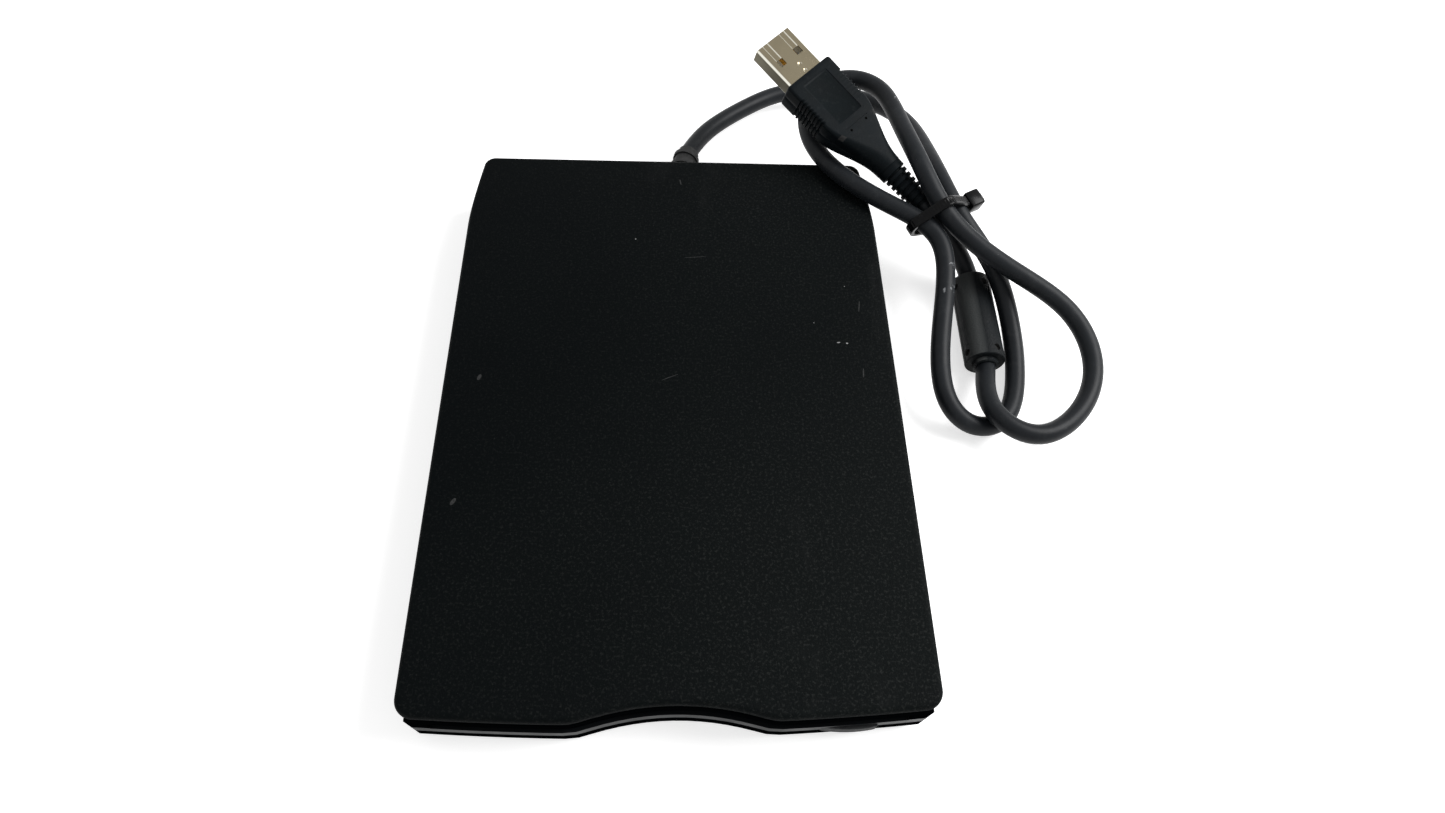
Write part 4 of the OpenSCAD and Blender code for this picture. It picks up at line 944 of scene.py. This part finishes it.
def bead_profile(length):
    """The bead's (distance along, radius) from its first neck to its last."""
    steps = 6
    turns = [math.pi / 2 * i / steps for i in range(steps + 1)]
    flat_r = BEAD_R - BEAD_EDGE_R
    rounding = [(BEAD_EDGE_R * (1 - math.cos(a)), flat_r + BEAD_EDGE_R * math.sin(a)) for a in turns]
    profile = [(0, BEAD_BORE_R), (0, BEAD_NECK_R - BEAD_RIM),
               (BEAD_RIM, BEAD_NECK_R), (BEAD_NECK_L, BEAD_NECK_R)]
    profile += [(BEAD_NECK_L + d, r) for d, r in rounding]
    profile += [(length - d - BEAD_END_NECK_L, r) for d, r in reversed(rounding)]
    profile += [(length - BEAD_END_NECK_L, BEAD_END_NECK_R), (length, BEAD_END_NECK_R - BEAD_END_RIM),
                (length, BEAD_BORE_R)]
    return profile


def bead():
    """The bead's two half shells, the upper one slightly smaller, with four pin holes."""
    run = BEAD_END - BEAD_START
    along = run.normalized()
    side = along.cross(Vector((0, 0, 1))).normalized()
    up = side.cross(along)

    def out(degrees):
        return math.cos(math.radians(degrees)) * up + math.sin(math.radians(degrees)) * side

    sides = 120
    rings = []
    for d, r in bead_profile(run.length):
        ring = []
        for degrees in (360 * k / sides for k in range(sides)):
            off = abs((degrees - BEAD_UPPER_TURN + 180) % 360 - 180)
            upper = r > BEAD_NECK_R and off < BEAD_UPPER_HALF
            ring.append(BEAD_START + d * along + (r - BEAD_LEDGE if upper else r) * out(degrees))
        rings.append(ring)
    piece = make_piece("bead_body", *loop(rings), [BEAD, HOLE], sharp=40, replaces=["ferrite_bead"],
                       slot="bead_plastic")
    pins = []
    for d in BEAD_HOLE_PLACES:
        centre = BEAD_START + d * along
        for angle in BEAD_HOLE_ANGLES:
            ends = [centre + reach * out(angle) for reach in (BEAD_R - BEAD_HOLE_DEPTH, BEAD_R + 1)]
            pins.append(rod(*ends, BEAD_HOLE_R))
    cut(piece, pins, 40)
    for face in piece.data.polygons:
        at = face.center / MM - BEAD_START
        d = at.dot(along)
        away = (at - d * along).length
        by_hole = any(abs(d - place) < 1.3 * BEAD_HOLE_R for place in BEAD_HOLE_PLACES)
        # The pin holes' walls get the painted shade.
        if by_hole and BEAD_NECK_R < away < BEAD_R - BEAD_LEDGE - 0.05:
            face.material_index = 1
    return piece


# The tie's middle, its heading and pitch in degrees, and its sizes
TIE_PLACE = Vector((68.4, 52.1, 18.9))
TIE_HEADING = 62
TIE_PITCH = 12
TIE_W = 2.5
TIE_T = 1.0
TIE_EDGE = 0.2
TIE_RIB = 0.1
TIE_STEPS = 240
TIE_FIT = 0.02
# The tie's head, and the cut end that passes through it, measured from where the head starts
HEAD_L, HEAD_HALF_W, HEAD_HALF_H, HEAD_EDGE = 4.2, 2.1, 2.25, 0.5
STUB_START, STUB_END, STUB_LOW, STUB_HIGH, STUB_HALF_H, STUB_EDGE = 3.9, 5.2, -0.4, 0.75, 1.15, 0.15
# Strands under the tie: across, up and the room that each needs
TIE_STRANDS = [(5.15, -0.1, 0.2), (-5.5, -0.4, 0.85), (-0.4, 3.2, 0.5), (-0.15, -2.65, 0.95)]


def tie_outline(extra):
    """The taut outline round the strands, evenly stepped."""
    hull = []
    for k in range(3 * TIE_STEPS):
        a = 2 * math.pi * k / (3 * TIE_STEPS)
        dx, dy = math.cos(a), math.sin(a)
        x, y, room = max(TIE_STRANDS, key=lambda p: p[0] * dx + p[1] * dy + p[2])
        r = LEAD_D / 2 / MM + room + extra
        hull.append((x + r * dx, y + r * dy))
    lengths = [math.dist(hull[i - 1], hull[i]) for i in range(len(hull))]
    total = sum(lengths)
    made, run, i = [], 0.0, 0
    for k in range(TIE_STEPS):
        goal = total * k / TIE_STEPS
        while run + lengths[(i + 1) % len(hull)] < goal:
            run += lengths[(i + 1) % len(hull)]
            i += 1
        a, b = hull[i % len(hull)], hull[(i + 1) % len(hull)]
        t = (goal - run) / max(lengths[(i + 1) % len(hull)], 1e-9)
        made.append((a[0] + (b[0] - a[0]) * t, a[1] + (b[1] - a[1]) * t))
    return made


def tie():
    """The ribbed strap round the strands, with its head and its cut end."""
    space = (Matrix.Translation(TIE_PLACE) @ Matrix.Rotation(math.radians(90 - TIE_HEADING), 4, "Z")
             @ Matrix.Rotation(math.radians(90 + TIE_PITCH), 4, "X"))
    half, edge = TIE_W / 2, TIE_EDGE
    rings = []
    for k, ((ax, ay), (bx, by)) in enumerate(zip(tie_outline(TIE_FIT), tie_outline(TIE_T))):
        length = math.dist((ax, ay), (bx, by))
        ux, uy = (bx - ax) / length, (by - ay) / length
        floor_t = TIE_T - (TIE_RIB if k % 4 < 2 else 0)
        section = [(0, -half), (TIE_T - edge, -half), (TIE_T, -half + edge), (TIE_T, -half + 2.5 * edge),
                   (floor_t, -half + 3 * edge), (floor_t, half - 3 * edge), (TIE_T, half - 2.5 * edge),
                   (TIE_T, half - edge), (TIE_T - edge, half), (0, half)]
        rings.append([(ax + ux * d, ay + uy * d, z) for d, z in section])
    x, _, room = TIE_STRANDS[0]
    head_x = x + room + LEAD_D / 2 / MM + TIE_T / 2
    head = box_mesh((head_x, -HEAD_HALF_W, -HEAD_HALF_H),
                    (head_x + HEAD_L, HEAD_HALF_W, HEAD_HALF_H), HEAD_EDGE)
    stub = box_mesh((head_x + STUB_START, STUB_LOW, -STUB_HALF_H),
                    (head_x + STUB_END, STUB_HIGH, STUB_HALF_H), STUB_EDGE)
    points, faces = merge([loop(rings), head, stub])
    return make_piece("tie_band", [space @ Vector(p) for p in points], faces, [TIE], sharp=45,
                      replaces=["cable_tie"], slot="tie_plastic")


top_cover()
bottom_cover()
cord = lead()
on_lead = [plug_body(), plug_relief(), plug_shell(), bead(), tie()]
camera()

NODE_MATERIALS = [
    (BEZEL, "front_bezel"),
    (BUTTON, "eject_button"),
    (CASE, "slot_door"),
    (FOOT, "rubber_feet", "strain_relief"),
    (STEEL, "case_screws", "drive_frame", "stepper_motor", "upper_head_arm", "latch_lever"),
    (BRIGHT, "frame_screws", "guide_rod", "eject_plate", "disk_carrier", "spindle_rotor", "lead_screw"),
    (BOARD, "main_board", "interface_board", "spindle_stator"),
    (WHITE, "flat_cable", "protect_plunger", "density_plunger", "presence_plunger", "plug_tongue"),
    (WIRE, "inner_leads"),
    (BODY, "sensor_block", "head_carriage", "plug_overmold"),
    (BEAD, "ferrite_bead"),
    (TIE, "cable_tie"),
    (NICKEL, "plug_shell"),
    (GOLD, "plug_contacts")]
for material, *names in NODE_MATERIALS:
    for name in names:
        mesh = frame["nodes"][name].data
        mesh.materials.clear()
        mesh.materials.append(material)


# Floor and light
FLOOR_HALF = 3.0
FLOOR_GLOW = 0.62
ROOM_LIGHT = 0.5
KEY_PLACE, KEY_SIZE, KEY_POWER = (0.5, 0.1, 0.5), 0.4, 6


def seen_directly(tree, otherwise, seen):
    """A value for the eye, a reflection or a view through glass, and one for the light on the object."""
    path = tree.nodes.new("ShaderNodeLightPath")
    total = path.outputs["Is Camera Ray"]
    for name in ("Is Glossy Ray", "Is Transmission Ray"):
        either = tree.nodes.new("ShaderNodeMath")
        either.operation = "MAXIMUM"
        tree.links.new(total, either.inputs[0])
        tree.links.new(path.outputs[name], either.inputs[1])
        total = either.outputs["Value"]
    span = tree.nodes.new("ShaderNodeMapRange")
    tree.links.new(total, span.inputs["Value"])
    span.inputs["To Min"].default_value = otherwise
    span.inputs["To Max"].default_value = seen
    return span.outputs["Result"]


def floor():
    corners = [(-1, -1), (1, -1), (1, 1), (-1, 1)]
    mesh = bpy.data.meshes.new("floor")
    mesh.from_pydata([(FLOOR_HALF * x, FLOOR_HALF * y, 0) for x, y in corners], [], [(0, 1, 2, 3)])
    ground = bpy.data.objects.new("floor", mesh)
    scene.collection.objects.link(ground)
    material = bpy.data.materials.new("floor_white")
    material.use_nodes = True
    tree = material.node_tree
    shader = tree.nodes["Principled BSDF"]
    shader.inputs["Base Color"].default_value = (0.8, 0.8, 0.8, 1)
    shader.inputs["Roughness"].default_value = 0.9
    shader.inputs["Specular IOR Level"].default_value = 0.0
    shader.inputs["Emission Color"].default_value = (1, 1, 1, 1)
    tree.links.new(seen_directly(tree, 0.0, FLOOR_GLOW), shader.inputs["Emission Strength"])
    mesh.materials.append(material)


def key_light():
    """A square lamp that points at the origin."""
    data = bpy.data.lights.new("key", "AREA")
    data.size = KEY_SIZE
    data.energy = KEY_POWER
    lamp = bpy.data.objects.new("key", data)
    lamp.location = KEY_PLACE
    lamp.rotation_mode = "QUATERNION"
    lamp.rotation_quaternion = (-Vector(KEY_PLACE)).to_track_quat("-Z", "Y")
    scene.collection.objects.link(lamp)


def world():
    scene.world = bpy.data.worlds.new("world")
    scene.world.use_nodes = True
    tree = scene.world.node_tree
    back = tree.nodes["Background"]
    back.inputs["Color"].default_value = (1, 1, 1, 1)
    tree.links.new(seen_directly(tree, ROOM_LIGHT, 1.0), back.inputs["Strength"])


floor()
world()
key_light()
scene.view_settings.view_transform = "Standard"
